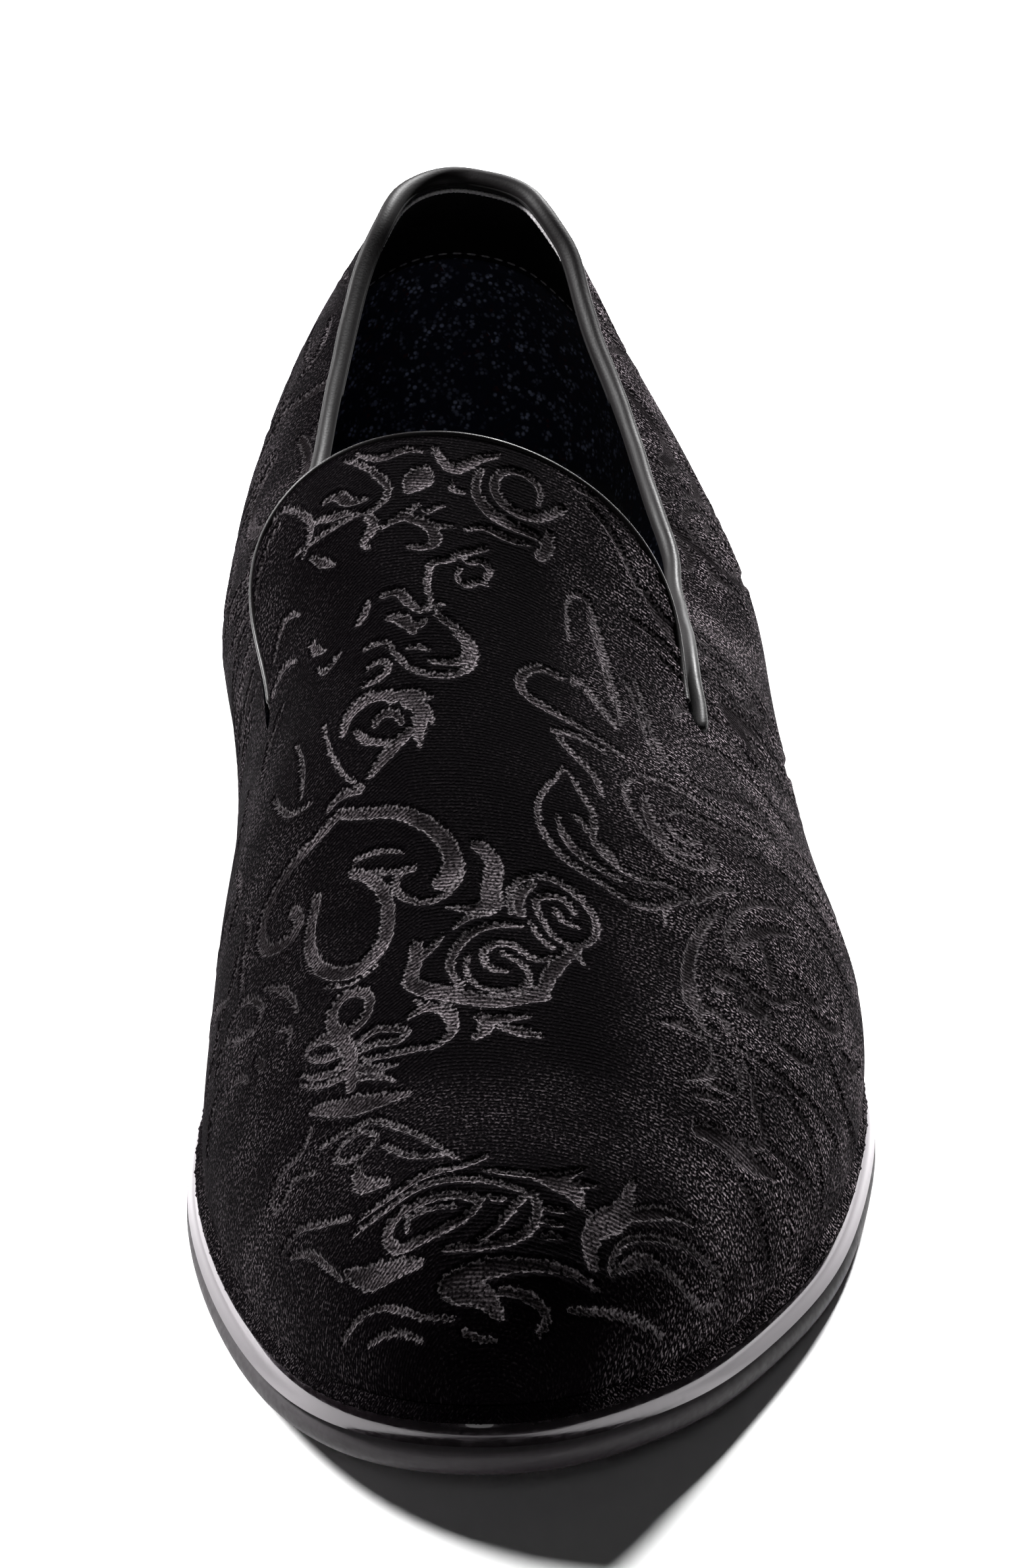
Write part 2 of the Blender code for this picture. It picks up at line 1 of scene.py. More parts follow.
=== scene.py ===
"""Dress the velvet slipper loafer: embossed velvet, leather edges, printed lining and sole.

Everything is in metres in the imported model's frame: the toe points to -Y, the outer side of the
foot to +X, and the floor is at z = 0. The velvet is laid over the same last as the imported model.
Its scroll pattern is charted flat, in millimetres of cloth, and pressed into the surface.
"""

import json
import logging
import math
from collections.abc import Callable
from dataclasses import dataclass
from enum import Enum
from functools import partial

import bmesh
import bpy
import numpy as np
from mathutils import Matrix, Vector

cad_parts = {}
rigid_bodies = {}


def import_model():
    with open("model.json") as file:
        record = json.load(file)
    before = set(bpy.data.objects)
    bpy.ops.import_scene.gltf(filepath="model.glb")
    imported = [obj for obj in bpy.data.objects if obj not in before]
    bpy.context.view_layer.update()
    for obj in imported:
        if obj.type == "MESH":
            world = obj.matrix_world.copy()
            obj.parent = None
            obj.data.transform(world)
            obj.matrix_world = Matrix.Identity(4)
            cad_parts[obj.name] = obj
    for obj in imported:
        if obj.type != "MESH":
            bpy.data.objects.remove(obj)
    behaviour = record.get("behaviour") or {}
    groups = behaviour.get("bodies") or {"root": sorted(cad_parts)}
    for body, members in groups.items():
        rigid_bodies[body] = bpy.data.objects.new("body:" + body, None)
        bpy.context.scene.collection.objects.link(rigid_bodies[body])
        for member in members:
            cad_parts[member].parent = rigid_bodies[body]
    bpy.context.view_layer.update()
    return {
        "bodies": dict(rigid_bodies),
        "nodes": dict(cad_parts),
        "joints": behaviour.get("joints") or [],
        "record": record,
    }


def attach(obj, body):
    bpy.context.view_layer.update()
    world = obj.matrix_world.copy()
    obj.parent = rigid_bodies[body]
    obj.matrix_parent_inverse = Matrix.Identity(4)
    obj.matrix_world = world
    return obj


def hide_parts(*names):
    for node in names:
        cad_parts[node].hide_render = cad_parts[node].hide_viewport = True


LOG = logging.getLogger("slipper")
FULL_TURN = 2.0 * math.pi
MM = 0.001

# The last's tables: shares of its length, and shares of the width or height that they scale
OUTLINE_COLUMNS = ("along", "medial", "lateral")
OUTLINE = (
    (0.000, 0.000, 0.000),
    (0.021, -0.180, 0.180),
    (0.072, -0.285, 0.285),
    (0.140, -0.315, 0.322),
    (0.230, -0.311, 0.344),
    (0.340, -0.307, 0.384),
    (0.460, -0.338, 0.446),
    (0.580, -0.398, 0.506),
    (0.670, -0.441, 0.532),
    (0.745, -0.453, 0.504),
    (0.820, -0.426, 0.440),
    (0.885, -0.378, 0.343),
    (0.940, -0.313, 0.235),
    (0.975, -0.236, 0.127),
    (0.994, -0.146, 0.036),
    (1.000, -0.051, -0.051),
)
RIB_COLUMNS = ("along", "ridge", "ridge_x", "medial_bulge", "lateral_bulge", "wall",
               "medial_crown", "lateral_crown")
RIBS = (
    (0.000, 1.20, 0.000, 0.040, 0.040, 0.50, 1.00, 1.00),
    (0.056, 1.19, 0.000, 0.055, 0.055, 0.46, 0.46, 0.48),
    (0.126, 1.14, -0.004, 0.115, 0.110, 0.40, 0.30, 0.34),
    (0.225, 1.05, -0.018, 0.260, 0.250, 0.38, 0.08, 0.20),
    (0.320, 1.00, -0.040, 0.300, 0.290, 0.37, 0.48, 0.40),
    (0.404, 0.96, -0.075, 0.210, 0.235, 0.37, 1.42, 0.64),
    (0.503, 0.920, -0.085, 0.108, 0.165, 0.38, 0.96, 0.34),
    (0.603, 0.820, -0.070, 0.062, 0.124, 0.41, 0.84, 0.44),
    (0.669, 0.735, -0.056, 0.034, 0.072, 0.46, 0.70, 0.52),
    (0.735, 0.640, -0.046, 0.018, 0.033, 0.50, 0.62, 0.56),
    (0.801, 0.565, -0.042, 0.008, 0.012, 0.54, 0.60, 0.58),
    (0.851, 0.500, -0.042, 0.003, 0.004, 0.55, 0.58, 0.58),
    (0.917, 0.405, -0.044, 0.001, 0.001, 0.56, 0.58, 0.58),
    (0.950, 0.325, -0.046, 0.000, 0.000, 0.56, 0.58, 0.58),
    (0.980, 0.212, -0.049, 0.000, 0.000, 0.56, 0.58, 0.58),
    (1.000, 0.000, -0.051, 0.000, 0.000, 0.56, 0.58, 0.58),
)
TOP_LINE_COLUMNS = ("along", "height", "ridge_drop", "crown_drop")
TOP_LINE = (
    (0.000, 1.010, 0.00, 0.00),
    (0.050, 0.985, 0.02, 0.00),
    (0.126, 0.893, 0.10, 0.00),
    (0.225, 0.750, 0.25, 0.00),
    (0.320, 0.665, 0.31, 0.10),
    (0.420, 0.612, 0.27, 0.40),
    (0.523, 0.588, 0.16, 0.45),
)
# How far the velvet's top line is pulled up its ribs, in mm, from the heel's middle to the notch
PULL_TURNS = (0.0, 0.40, 0.70, 0.90, 1.05, 1.20, 1.30, 1.37, 1.41, 1.45, 1.49, 1.53, 1.57, 1.617,
              1.66)
LATERAL_PULL = (1.2, 0.0, -1.8, -1.6, -1.0, -1.7, -2.9, -0.6, 1.8, 3.6, 4.7, 5.0, 4.3, 2.7, 1.7)
MEDIAL_PULL = (1.2, 0.8, 1.0, 1.4, 1.6, 1.8, 2.0, 2.2, 2.6, 3.2, 3.95, 4.6, 4.2, 3.2, 2.2)

# The scroll pattern, flat on the cloth. Widths are half widths in mm at the start, middle and end
# of a stroke. Points are mm across from the ridge (lateral is positive) and mm up from the toe.
SCROLLS = (
    # Tongue: crescent, oval, spiral and hook
    ((0.3, 0.8, 0.4), ((-14, 194), (-10, 190.5), (-7.5, 187), (-6.3, 184), (-7.5, 181),
                       (-10, 179.4))),
    ((0.4, 1.2, 0.4), ((-17.5, 186), (-15, 186.2), (-13.2, 184), (-10, 183))),
    ((0.3, 0.9, 0.3), ((-19.5, 183), (-16, 182), (-12, 180.8))),
    ((0.3, 0.5, 0.3), ((-24, 179.5), (-18, 179.2), (-13, 179.8), (-9, 180))),
    ((0.3, 0.7, 0.3), ((-26, 191), (-22, 187), (-20, 182), (-22, 177.5))),
    ((0.3, 0.9, 0.3), ((-12, 194.8), (-8, 192.2), (-3, 193.2), (-0.8, 192))),
    ((0.4, 1.2, 0.5), ((0.8, 193.5), (2.4, 190), (4, 188.4), (7.2, 190.6), (11, 193))),
    ((1.0, 2.5, 1.0), ((-2.9, 183.4), (-1.4, 186), (-0.7, 188.4))),
    ((0.4, 0.9, 0.8), ((18.3, 184.2), (18.6, 187.2), (16.8, 189.6), (13.8, 190.2), (11.3, 188.2),
                       (11, 185), (12.6, 181.9), (15.8, 180.7), (19.5, 182), (22.3, 185))),
    ((0.5, 1.2, 0.5), ((8.6, 189.2), (7.9, 185.5), (8.3, 182.2), (10, 179.6), (13, 177.8),
                       (17, 177.2), (20.5, 176.4))),
    ((0.3, 0.7, 0.3), ((4, 185.2), (4.2, 183.4), (5.8, 182.8))),
    ((0.2, 0.9, 0.3), ((-7.5, 175.2), (-5, 176.6), (-3, 178), (-1.5, 179.8))),
    ((0.9, 1.1, 0.4), ((-3, 176.6), (-0.5, 175), (1, 172.5), (0.8, 170.2), (-1, 169.3),
                       (-3.2, 169.8))),
    ((0.7, 0.5, 0.2), ((0, 175), (2.2, 174.3), (4.2, 174.4))),
    ((0.5, 0.5, 0.2), ((-0.5, 177.4), (1, 178.4), (2.5, 179.3))),
    ((0.2, 0.7, 0.3), ((6, 173.9), (9, 175.4), (13, 174.4), (17, 174.8))),
    ((0.9, 1.2, 0.7), ((18.6, 173), (19.8, 175), (20.4, 178.5))),
    ((0.5, 0.9, 0.3), ((-20, 176), (-18, 173.5), (-16, 171.6))),
    ((0.8, 0.9, 0.2), ((-9.5, 178.5), (-8.8, 176), (-10.5, 173), (-9.6, 171.5))),
    # Tongue: flower on its branch
    ((0.5, 0.6, 0.3), ((9.1, 170.8), (7, 169.4), (5, 168.5), (3, 166.6), (0.6, 165.8), (-0.5, 163),
                       (-0.8, 160), (-0.6, 157), (-2.5, 155))),
    ((0.4, 0.6, 0.5), ((5.2, 168.4), (6.3, 166.8), (8.2, 167.6), (9.7, 166), (9, 164.3))),
    ((0.5, 0.5, 0.3), ((9, 162.9), (7.2, 162.7), (5.8, 161.4), (4.3, 162.3), (4.7, 164.9))),
    ((0.5, 0.9, 0.5), ((-8.2, 160.2), (-5.6, 160.2), (-3.8, 157), (-2.3, 155.4))),
    ((0.5, 0.8, 0.4), ((-12.6, 156.6), (-11.4, 158), (-10.4, 160))),
    ((0.3, 0.4, 0.2), ((-1.4, 155.2), (0.4, 156), (2.1, 156.6))),
    ((0.6, 0.8, 0.6), ((0.4, 154.2), (1.8, 152.6), (2.8, 151.8))),
    ((0.5, 1.3, 0.6), ((-7.6, 155.2), (-5.2, 154), (-3.8, 151))),
    # Tongue: drop with its rings
    ((0.4, 0.55, 0.5), ((-12, 150.4), (-8.5, 150.2), (-6.8, 147), (-5, 143.6), (-2, 141.4),
                        (1.4, 141.2), (4.4, 143.2), (5.6, 146.4), (5, 149.4), (3.4, 151.4))),
    ((0.4, 0.9, 0.4), ((2.6, 150.4), (4.3, 148), (4, 145.2), (1.6, 143.9), (-1.6, 144.2))),
    ((0.3, 0.5, 0.3), ((-5, 147.9), (-3.2, 147.6), (-1.4, 146.6))),
    ((0.4, 0.8, 0.4), ((-4.2, 152.4), (-2.6, 152.4), (-1.6, 153.2))),
    ((0.4, 0.6, 0.3), ((-12.6, 142.7), (-10, 142.9), (-8.3, 144.6), (-9.2, 146.4), (-12, 145.8))),
    ((0.3, 0.7, 0.4), ((-21, 153.2), (-19.6, 151.4), (-16.4, 152.6))),
    ((0.5, 0.9, 0.3), ((-22, 160), (-20.6, 157), (-19, 155.8))),
    # Rosette leaf under the tongue
    ((0.5, 1.3, 0.9), ((-17, 134.3), (-15.4, 138), (-12, 139.6), (-8.3, 138.4))),
    ((1.0, 1.2, 0.2), ((-8.4, 137.9), (-5.2, 137.8), (-1.9, 136.4))),
    ((1.3, 1.3, 0.2), ((-6, 136.6), (-3.8, 134), (-2.6, 130.9))),
    ((1.2, 1.0, 0.2), ((-4.2, 133.4), (-4.9, 129.5), (-5.2, 126.3))),
    ((0.9, 1.2, 0.4), ((-6.4, 130), (-9.5, 127.2), (-12.4, 124), (-13.4, 122.8))),
    ((0.4, 0.8, 0.5), ((-14.6, 133.8), (-13.2, 130.7), (-10.2, 128.9))),
    ((0.5, 0.9, 0.5), ((-11.6, 133.2), (-10.4, 135), (-8, 134.2), (-7.5, 132.2))),
    ((0.3, 0.4, 0.3), ((-20.2, 139), (-19.6, 133), (-18.4, 128), (-17, 124.4), (-14.8, 121.2))),
    ((0.4, 0.6, 0.3), ((-31.8, 133.4), (-30, 128), (-27.5, 125), (-24, 124.2))),
    ((0.3, 0.5, 0.3), ((-26, 140), (-25, 133), (-25.8, 127))),
    # Heart with its centre petal
    ((0.9, 1.4, 1.5), ((-19.2, 118.3), (-15.8, 116.1), (-10.8, 114.1), (-6.2, 110.4), (-3.2, 105.6),
                       (-2.9, 101), (-4.6, 98))),
    ((0.4, 0.5, 0.6), ((-1.5, 103), (-1.7, 99), (-4, 95.7), (-7.2, 94.5), (-10.4, 96.4),
                       (-11.7, 99.4), (-10.7, 101.5), (-8.7, 101.9))),
    ((0.4, 0.5, 0.3), ((-17.5, 107.4), (-14, 107.2), (-10, 105.5))),
    ((0.4, 0.55, 0.3), ((-18.4, 104.9), (-15.4, 103.6), (-12, 102.3), (-9.4, 102))),
    ((0.8, 1.1, 1.0), ((-19.2, 118.2), (-24, 116), (-30, 114.4), (-35, 111.2), (-36.8, 107.4),
                       (-35.8, 103.4), (-33, 101), (-29.9, 100.6), (-28.3, 102.4), (-29.3, 105.2))),
    ((0.9, 1.3, 0.9), ((-24.7, 104.2), (-26.4, 98), (-25.6, 91.2), (-22.6, 86.9), (-19, 85.3),
                       (-15.4, 87.2), (-13.5, 92), (-13.4, 97.6), (-15, 101.8), (-18, 105))),
    ((0.2, 0.3, 0.2), ((-24.2, 85), (-19.6, 82.9), (-15.4, 84.6))),
    ((0.5, 0.9, 0.5), ((-21, 120.3), (-19, 121.6), (-15.4, 120.6))),
    # Stem, small spiral
    ((1.1, 1.4, 1.6), ((1.4, 105), (3.4, 101.4), (2.7, 97), (2.5, 93.4))),
    ((0.2, 0.7, 0.8), ((-4.2, 92.9), (-1, 92.2), (1.4, 93))),
    ((0.2, 0.6, 0.6), ((-3.6, 88.3), (-1, 90.6), (2.2, 91.4))),
    ((0.4, 0.65, 0.4), ((5.2, 91.5), (5.2, 95), (7.5, 98.6), (11.5, 99.3), (15.2, 97), (17.8, 92.8),
                        (17.6, 88.6), (15, 86), (12, 86.6), (10.2, 89.2))),
    ((0.4, 0.6, 0.5), ((10.4, 89), (9.3, 91.8), (9.4, 94.6), (11.6, 95.6), (14, 94.6),
                       (14.9, 92.6))),
    ((0.8, 1.0, 0.4), ((6.6, 91.4), (6.8, 95.2), (9.2, 97.6))),
    ((0.4, 0.6, 0.4), ((11.8, 93.2), (12.9, 91), (15, 89.9))),
    # Big spiral with its leaf
    ((0.4, 0.8, 0.5), ((6.4, 88.6), (3, 88.8), (-0.6, 87.4), (-3.6, 84), (-4.6, 80), (-3.2, 76.4))),
    ((0.3, 0.5, 0.5), ((7.9, 89.9), (8.8, 87.2), (10.8, 84.7))),
    ((0.4, 0.6, 0.5), ((10.5, 82.7), (8.4, 81.8), (6, 83.8), (3.4, 85), (1, 83.8), (0.4, 81.4),
                       (1.6, 79.6), (3.6, 79.2))),
    ((0.4, 0.5, 0.3), ((3, 82.8), (5.7, 81), (6.9, 78), (5.8, 75.6), (3, 74.9), (-0.6, 76),
                       (-2.2, 79), (-1.7, 82.6))),
    ((1.0, 1.5, 0.9), ((-9.4, 86), (-9.8, 82.5), (-10.6, 79), (-8.4, 76.6), (-5, 75), (-1.5, 73.4),
                       (2.5, 72.8), (6, 73.6), (9, 74.4))),
    ((0.8, 0.6, 0.2), ((-9, 83.6), (-6.8, 85.4), (-5.2, 87.5))),
    ((0.8, 1.3, 0.7), ((8.6, 74.2), (9.5, 77.6), (11, 80.6), (12.6, 83), (14.6, 85.4))),
    ((0.6, 0.5, 0.2), ((13.6, 84), (15, 83), (15.9, 81.6))),
    ((0.7, 0.8, 0.2), ((8, 75.6), (6.4, 75.2), (5, 75.9))),
    # Double leaf, hooked leaf, oval leaf and ring flower
    ((0.5, 1.1, 0.7), ((-1.7, 65.6), (0.2, 68), (-1, 69.9))),
    ((1.0, 0.7, 0.2), ((0, 69), (3, 69.4), (6.8, 69.9))),
    ((0.5, 1.0, 0.2), ((2, 67.7), (5, 66.8), (8.3, 65.9))),
    ((0.3, 1.2, 0.4), ((-11.6, 71.6), (-9.4, 72.7), (-6.4, 72.3), (-4.9, 69.8), (-5.2, 67),
                       (-7.4, 65))),
    ((0.3, 0.6, 0.4), ((-10, 74.6), (-8.4, 73.6), (-7, 73))),
    ((0.4, 0.55, 0.4), ((-7.2, 64.9), (-12, 65.4), (-16, 66), (-18.6, 66.6))),
    ((0.6, 0.6, 0.6), ((-19, 70.5), (-16.5, 71.4), (-13.5, 70.4), (-11.7, 69), (-13, 67.9),
                       (-15.5, 68.5), (-18.7, 68.7))),
    ((0.8, 1.0, 0.8), ((-17.1, 77.4), (-18.2, 74.6), (-20.4, 73.6), (-22.9, 75.4), (-23.3, 78.6),
                       (-21.4, 80.9), (-18.6, 80.5), (-17.1, 78.2), (-17.1, 77.4))),
    # Small tree
    ((0.8, 1.3, 0.7), ((-20.8, 62.5), (-20.6, 67), (-21.2, 70.8), (-23.6, 74.2), (-27.6, 74.9))),
    ((0.6, 0.7, 0.2), ((-21, 70), (-25, 70.8), (-28.6, 74))),
    ((0.6, 0.6, 0.2), ((-20.8, 67.4), (-25, 67.6), (-29.6, 71))),
    ((0.6, 0.5, 0.2), ((-21, 65.4), (-25.4, 66), (-29.4, 69))),
    ((0.7, 0.7, 0.2), ((-20, 66), (-17.4, 64.4), (-13.2, 63.2))),
    ((0.7, 0.6, 0.2), ((-20, 64), (-16.5, 62.5), (-13.8, 60.2))),
    ((0.8, 1.9, 0.5), ((-27.5, 62.8), (-22, 59.6), (-16, 57.6), (-11.8, 57))),
    # Loops over the toe
    ((0.4, 0.45, 0.4), ((-17, 51), (-18.8, 53), (-22, 53), (-24, 51.2), (-22.4, 49.4), (-19, 49),
                        (-17, 51))),
    ((0.4, 0.5, 0.3), ((-26.4, 55), (-21.6, 54.8), (-17, 54), (-13.6, 51), (-11, 48.6),
                       (-8.2, 45.4), (-5, 41.8))),
    ((0.4, 0.5, 0.3), ((-15.8, 48.6), (-13.4, 45.8), (-9.8, 43.6), (-6.4, 43))),
    ((0.5, 0.6, 0.3), ((-38, 54.4), (-35, 57), (-30.4, 57), (-28, 59.6))),
    ((0.3, 0.5, 0.3), ((-38, 54.2), (-36.6, 52), (-32.4, 53.3), (-28, 51.4))),
    ((0.5, 1.4, 0.5), ((-20.5, 47), (-19.4, 43), (-15.4, 41.2))),
    ((0.3, 0.55, 0.4), ((-20.4, 37.2), (-15, 38.2), (-10, 39.8), (-4, 40.3), (-0.8, 41.6))),
    ((0.3, 0.6, 0.4), ((-21.4, 35.4), (-16, 36.2), (-11, 37.9), (-5, 37.8), (0, 36.5), (4.2, 35))),
    ((0.3, 0.6, 0.3), ((-1, 38.7), (4, 38.1), (8, 38))),
    ((0.8, 1.9, 1.0), ((6.4, 37.8), (9.5, 37.3), (12.2, 35.8))),
    ((0.8, 0.7, 0.2), ((9.6, 38.2), (11.4, 39.4), (13, 40.6))),
    ((0.8, 0.6, 0.2), ((11, 37.4), (12.8, 37.8), (14.8, 38.2))),
    ((0.8, 0.6, 0.2), ((11, 35.6), (12.4, 34.2), (13.7, 33))),
    # Paisley on the toe
    ((0.6, 0.8, 0.6), ((-2, 33.4), (-5.6, 35), (-11, 35.1), (-15, 33.6), (-15.7, 30.8),
                       (-14.2, 28.9), (-10.4, 28.8), (-6.2, 29.8), (-3.4, 31.4), (-2, 33.4))),
    ((0.3, 0.5, 0.3), ((-5.4, 32.8), (-9.6, 33.6), (-12.8, 32.4), (-12.6, 30.9))),
    ((0.5, 0.6, 0.3), ((4.6, 34.5), (2, 31), (-0.5, 28), (-2.6, 26.6))),
    ((0.6, 0.8, 0.5), ((5.7, 34.6), (6.1, 31.5), (4.9, 28.4), (1.5, 26.3), (-2, 25.6), (-7, 26.2))),
    ((0.3, 0.5, 0.2), ((7, 32.6), (8.6, 32.3), (10.2, 32.6))),
    ((0.3, 0.5, 0.2), ((7, 30.2), (8.4, 30), (9.8, 30.2))),
    ((0.3, 0.6, 0.3), ((6.6, 27.4), (8.2, 28), (9.8, 28))),
    ((0.3, 0.5, 0.3), ((-0.8, 34), (0.4, 33.4), (1.6, 33.6))),
    ((0.5, 1.0, 2.2), ((15, 22.4), (10, 23.2), (4, 22.7), (-1.5, 21.9), (-6, 20.4))),
    ((1.8, 1.7, 0.8), ((-5, 19), (-2, 18), (0.4, 15))),
    ((0.7, 0.9, 0.4), ((0.8, 18.6), (5, 17.8), (7.4, 15.8), (6, 13.4))),
    ((0.4, 0.5, 0.3), ((-4.5, 13.4), (-2.4, 12), (0, 11.6))),
    # Lateral leaf of the toe
    ((1.0, 2.0, 0.5), ((14.2, 25.6), (13.9, 28.6), (15.6, 32), (19, 35.5), (20, 38.8),
                       (20.7, 41.4))),
    ((1.0, 1.1, 0.3), ((18.4, 35), (22, 36.6), (26, 39), (31.8, 40.7))),
    ((0.4, 0.5, 0.4), ((17, 26), (18.6, 30), (24, 34), (31, 36.8), (37, 38.2), (40.4, 38),
                       (41.2, 36.4))),
    ((0.4, 0.5, 0.3), ((17.5, 25.6), (20, 28.4), (24, 30.6), (31, 31.6), (38, 33.2), (40.8, 35.6))),
    ((0.6, 0.9, 0.3), ((19.6, 27.4), (21.8, 29.6), (24.6, 31.4))),
    ((0.4, 0.5, 0.3), ((11, 18), (16, 20), (22, 22.4), (30, 25))),
    # Medial lines of the toe
    ((0.4, 0.5, 0.3), ((-37, 45), (-32, 44.4), (-28, 42), (-22, 38.6))),
    ((0.4, 0.6, 0.3), ((-35, 42.5), (-30, 38.4), (-27, 34), (-24.6, 30.4))),
    ((0.6, 2.0, 0.8), ((-23.4, 30.8), (-20, 27.8), (-15.5, 26.2), (-11.2, 25.3))),
    ((0.4, 0.5, 0.3), ((-26.5, 23.5), (-20, 23), (-15, 20.5), (-11, 17.6), (-6, 15.5))),
    ((0.3, 0.4, 0.3), ((-21, 19.4), (-15, 17.4), (-11, 14.4))),
    # Long petal and oval petal, lateral
    ((0.3, 0.5, 0.4), ((22.8, 157), (22.9, 163), (24.4, 167.8), (26.4, 168.7), (28, 166),
                       (29.1, 160), (29.9, 152), (29.9, 145), (28.7, 140.8), (27, 142.6),
                       (25, 146.6))),
    ((0.2, 0.3, 0.2), ((27.2, 165), (28.2, 158), (28.8, 151), (28.9, 146))),
    ((0.7, 0.9, 0.4), ((19.6, 146.6), (17.5, 147.2), (15, 146.4), (13, 144), (12.3, 141),
                       (14.2, 138.6), (19, 136.5), (24, 134.4), (28.4, 132))),
    ((0.6, 1.0, 0.5), ((22, 146.6), (23, 148), (24.4, 147.4))),
    ((0.3, 0.5, 0.4), ((24, 146), (26.3, 142), (28.2, 139.2))),
    # Long swoosh to the lateral side, and its comma
    ((0.4, 0.55, 0.5), ((34.8, 156), (35.6, 148), (35.6, 143), (37, 138.2), (40.6, 134.6),
                        (44, 134.1), (48, 136.4), (53, 139.8), (58.5, 142.8))),
    ((0.3, 0.4, 0.3), ((32.6, 154), (34.2, 146), (34, 140.4), (35.6, 136))),
    ((0.3, 0.5, 0.3), ((30, 128.8), (36, 130), (43, 130.4), (50, 132.6), (58, 136.4))),
    ((0.4, 0.6, 0.5), ((29, 127.4), (27, 124.4), (27.4, 118), (29.6, 113.8), (34, 111),
                       (38.8, 112.4), (41.3, 116), (41.2, 119.4))),
    ((0.5, 0.7, 0.4), ((33.6, 119.4), (34.4, 117), (36.8, 116.9), (38.8, 119))),
    ((0.3, 0.5, 0.3), ((33.6, 121.6), (37, 124), (43, 125.3), (52, 129))),
    ((0.4, 1.3, 0.4), ((30.4, 124), (30.2, 118.4), (33.4, 113.8), (38, 115))),
    # Palmette between heart and comma
    ((0.3, 0.6, 0.5), ((16.8, 124), (14.4, 120), (12, 116), (11.3, 111.6), (12.4, 107), (15.4, 103),
                       (19.6, 100.4), (24.6, 97.8), (30.4, 100), (33.8, 103.2))),
    ((0.3, 0.6, 0.4), ((17.6, 123.4), (18.8, 119), (20.3, 114), (19.6, 109.6), (21.8, 105.6),
                       (26, 103.6), (31, 104.4), (34, 103.6))),
    ((0.3, 0.9, 0.3), ((14.4, 112.8), (15.2, 108), (18, 104.6), (23.6, 101.6))),
    ((0.3, 0.6, 0.3), ((16.6, 113.4), (18, 112.6), (18.6, 110.6))),
    ((0.3, 0.6, 0.4), ((21.2, 108.6), (22.2, 106.4), (22.8, 104.6))),
    ((0.4, 0.5, 0.2), ((31.8, 101.6), (30, 99), (29.6, 95.4))),
    ((0.5, 0.6, 0.3), ((16.4, 132.4), (20, 132.9), (25.4, 131))),
    ((0.5, 0.7, 0.4), ((17, 131), (19.4, 127.6), (21.8, 124), (22.4, 120))),
    # Great paisley on the lateral side
    ((0.4, 0.6, 0.4), ((41.6, 94.6), (40.4, 98.6), (42, 103.2), (45.2, 108.2), (50, 112.4),
                       (55, 115), (60.5, 115.6), (66, 114.8), (70.4, 111.6))),
    ((0.4, 0.9, 0.4), ((41.8, 95), (43, 98.6), (45.6, 102.4), (49.6, 106.4), (55, 109.8))),
    ((0.4, 0.8, 0.5), ((46, 104), (48.2, 100.4), (48.8, 97), (48, 93.6))),
    ((0.3, 0.9, 1.6), ((40.2, 104), (37.2, 100), (34.7, 95.4), (33, 90.5), (32.3, 85.5),
                       (32.4, 81))),
    ((0.3, 0.8, 0.5), ((44.4, 111), (39.6, 108), (36.6, 104.6), (35, 102.8))),
    ((0.8, 0.7, 0.3), ((38.4, 90.4), (40.2, 91.8), (43.6, 91), (47.6, 91.3), (51, 93),
                       (53.4, 95.6))),
    ((0.4, 0.9, 0.4), ((36.6, 85.8), (38.2, 87.2), (40, 87.6))),
    ((0.4, 1.1, 0.4), ((41, 84.4), (44, 86.2), (47, 84.6))),
    ((0.4, 1.2, 0.4), ((42.8, 88.6), (45.4, 88), (47.4, 86.4))),
    ((0.4, 0.9, 0.3), ((48, 83.2), (52, 83.6), (56.4, 85.6))),
    ((0.4, 0.7, 0.4), ((54, 100.6), (57, 98.6), (60, 100), (61, 103))),
    ((0.7, 0.8, 0.7), ((38.4, 78.4), (37.6, 80.6), (35.2, 81), (33.4, 79), (34, 76.8), (36, 76.2))),
    ((0.3, 0.5, 0.3), ((39.4, 76), (45, 76.4), (52, 77), (59, 78.2), (66, 79))),
    # Flower and leaves low on the lateral side
    ((0.3, 1.0, 0.4), ((26.8, 74), (30, 74.9), (34.6, 74.1))),
    ((0.4, 0.8, 0.4), ((35, 73), (35.4, 70), (33.6, 67), (30.4, 65))),
    ((0.4, 0.8, 0.4), ((37.6, 73.2), (39.8, 71.6), (40.2, 68.6))),
    ((0.4, 0.6, 0.3), ((33.6, 65.8), (36.4, 66.4), (40.4, 67.2))),
    ((0.3, 0.7, 0.3), ((31.8, 62.4), (34, 63.4), (36.6, 64))),
    ((0.4, 0.9, 0.5), ((40.6, 74), (42.8, 71.4), (43, 68), (45, 64.6), (44, 61.4), (40.6, 60))),
    ((1.2, 2.0, 0.6), ((32, 56.4), (34.6, 57.2), (40, 57.4), (48, 59.6))),
    ((0.3, 0.7, 0.3), ((45, 71.6), (49, 74), (54, 73.4), (59, 71.4), (63.4, 67))),
    ((0.3, 0.6, 0.3), ((45.6, 62.4), (50, 63.4), (54.6, 64.8), (59, 66.4))),
    ((0.3, 0.7, 0.3), ((40, 53.2), (45.4, 51.4), (50.6, 49))),
    ((0.3, 0.6, 0.3), ((52, 58.2), (56, 55.4), (57, 51))),
    ((0.4, 0.8, 0.3), ((60, 92), (65, 88), (71, 87.4), (77, 90))),
    ((0.4, 0.7, 0.3), ((57, 95.6), (62, 97.2), (66, 101), (66.6, 106))),
    ((0.4, 0.8, 0.3), ((66, 96), (71, 97.6), (74.6, 102))),
    ((0.4, 0.9, 0.4), ((48, 121), (55, 124), (62, 124), (69, 120.6))),
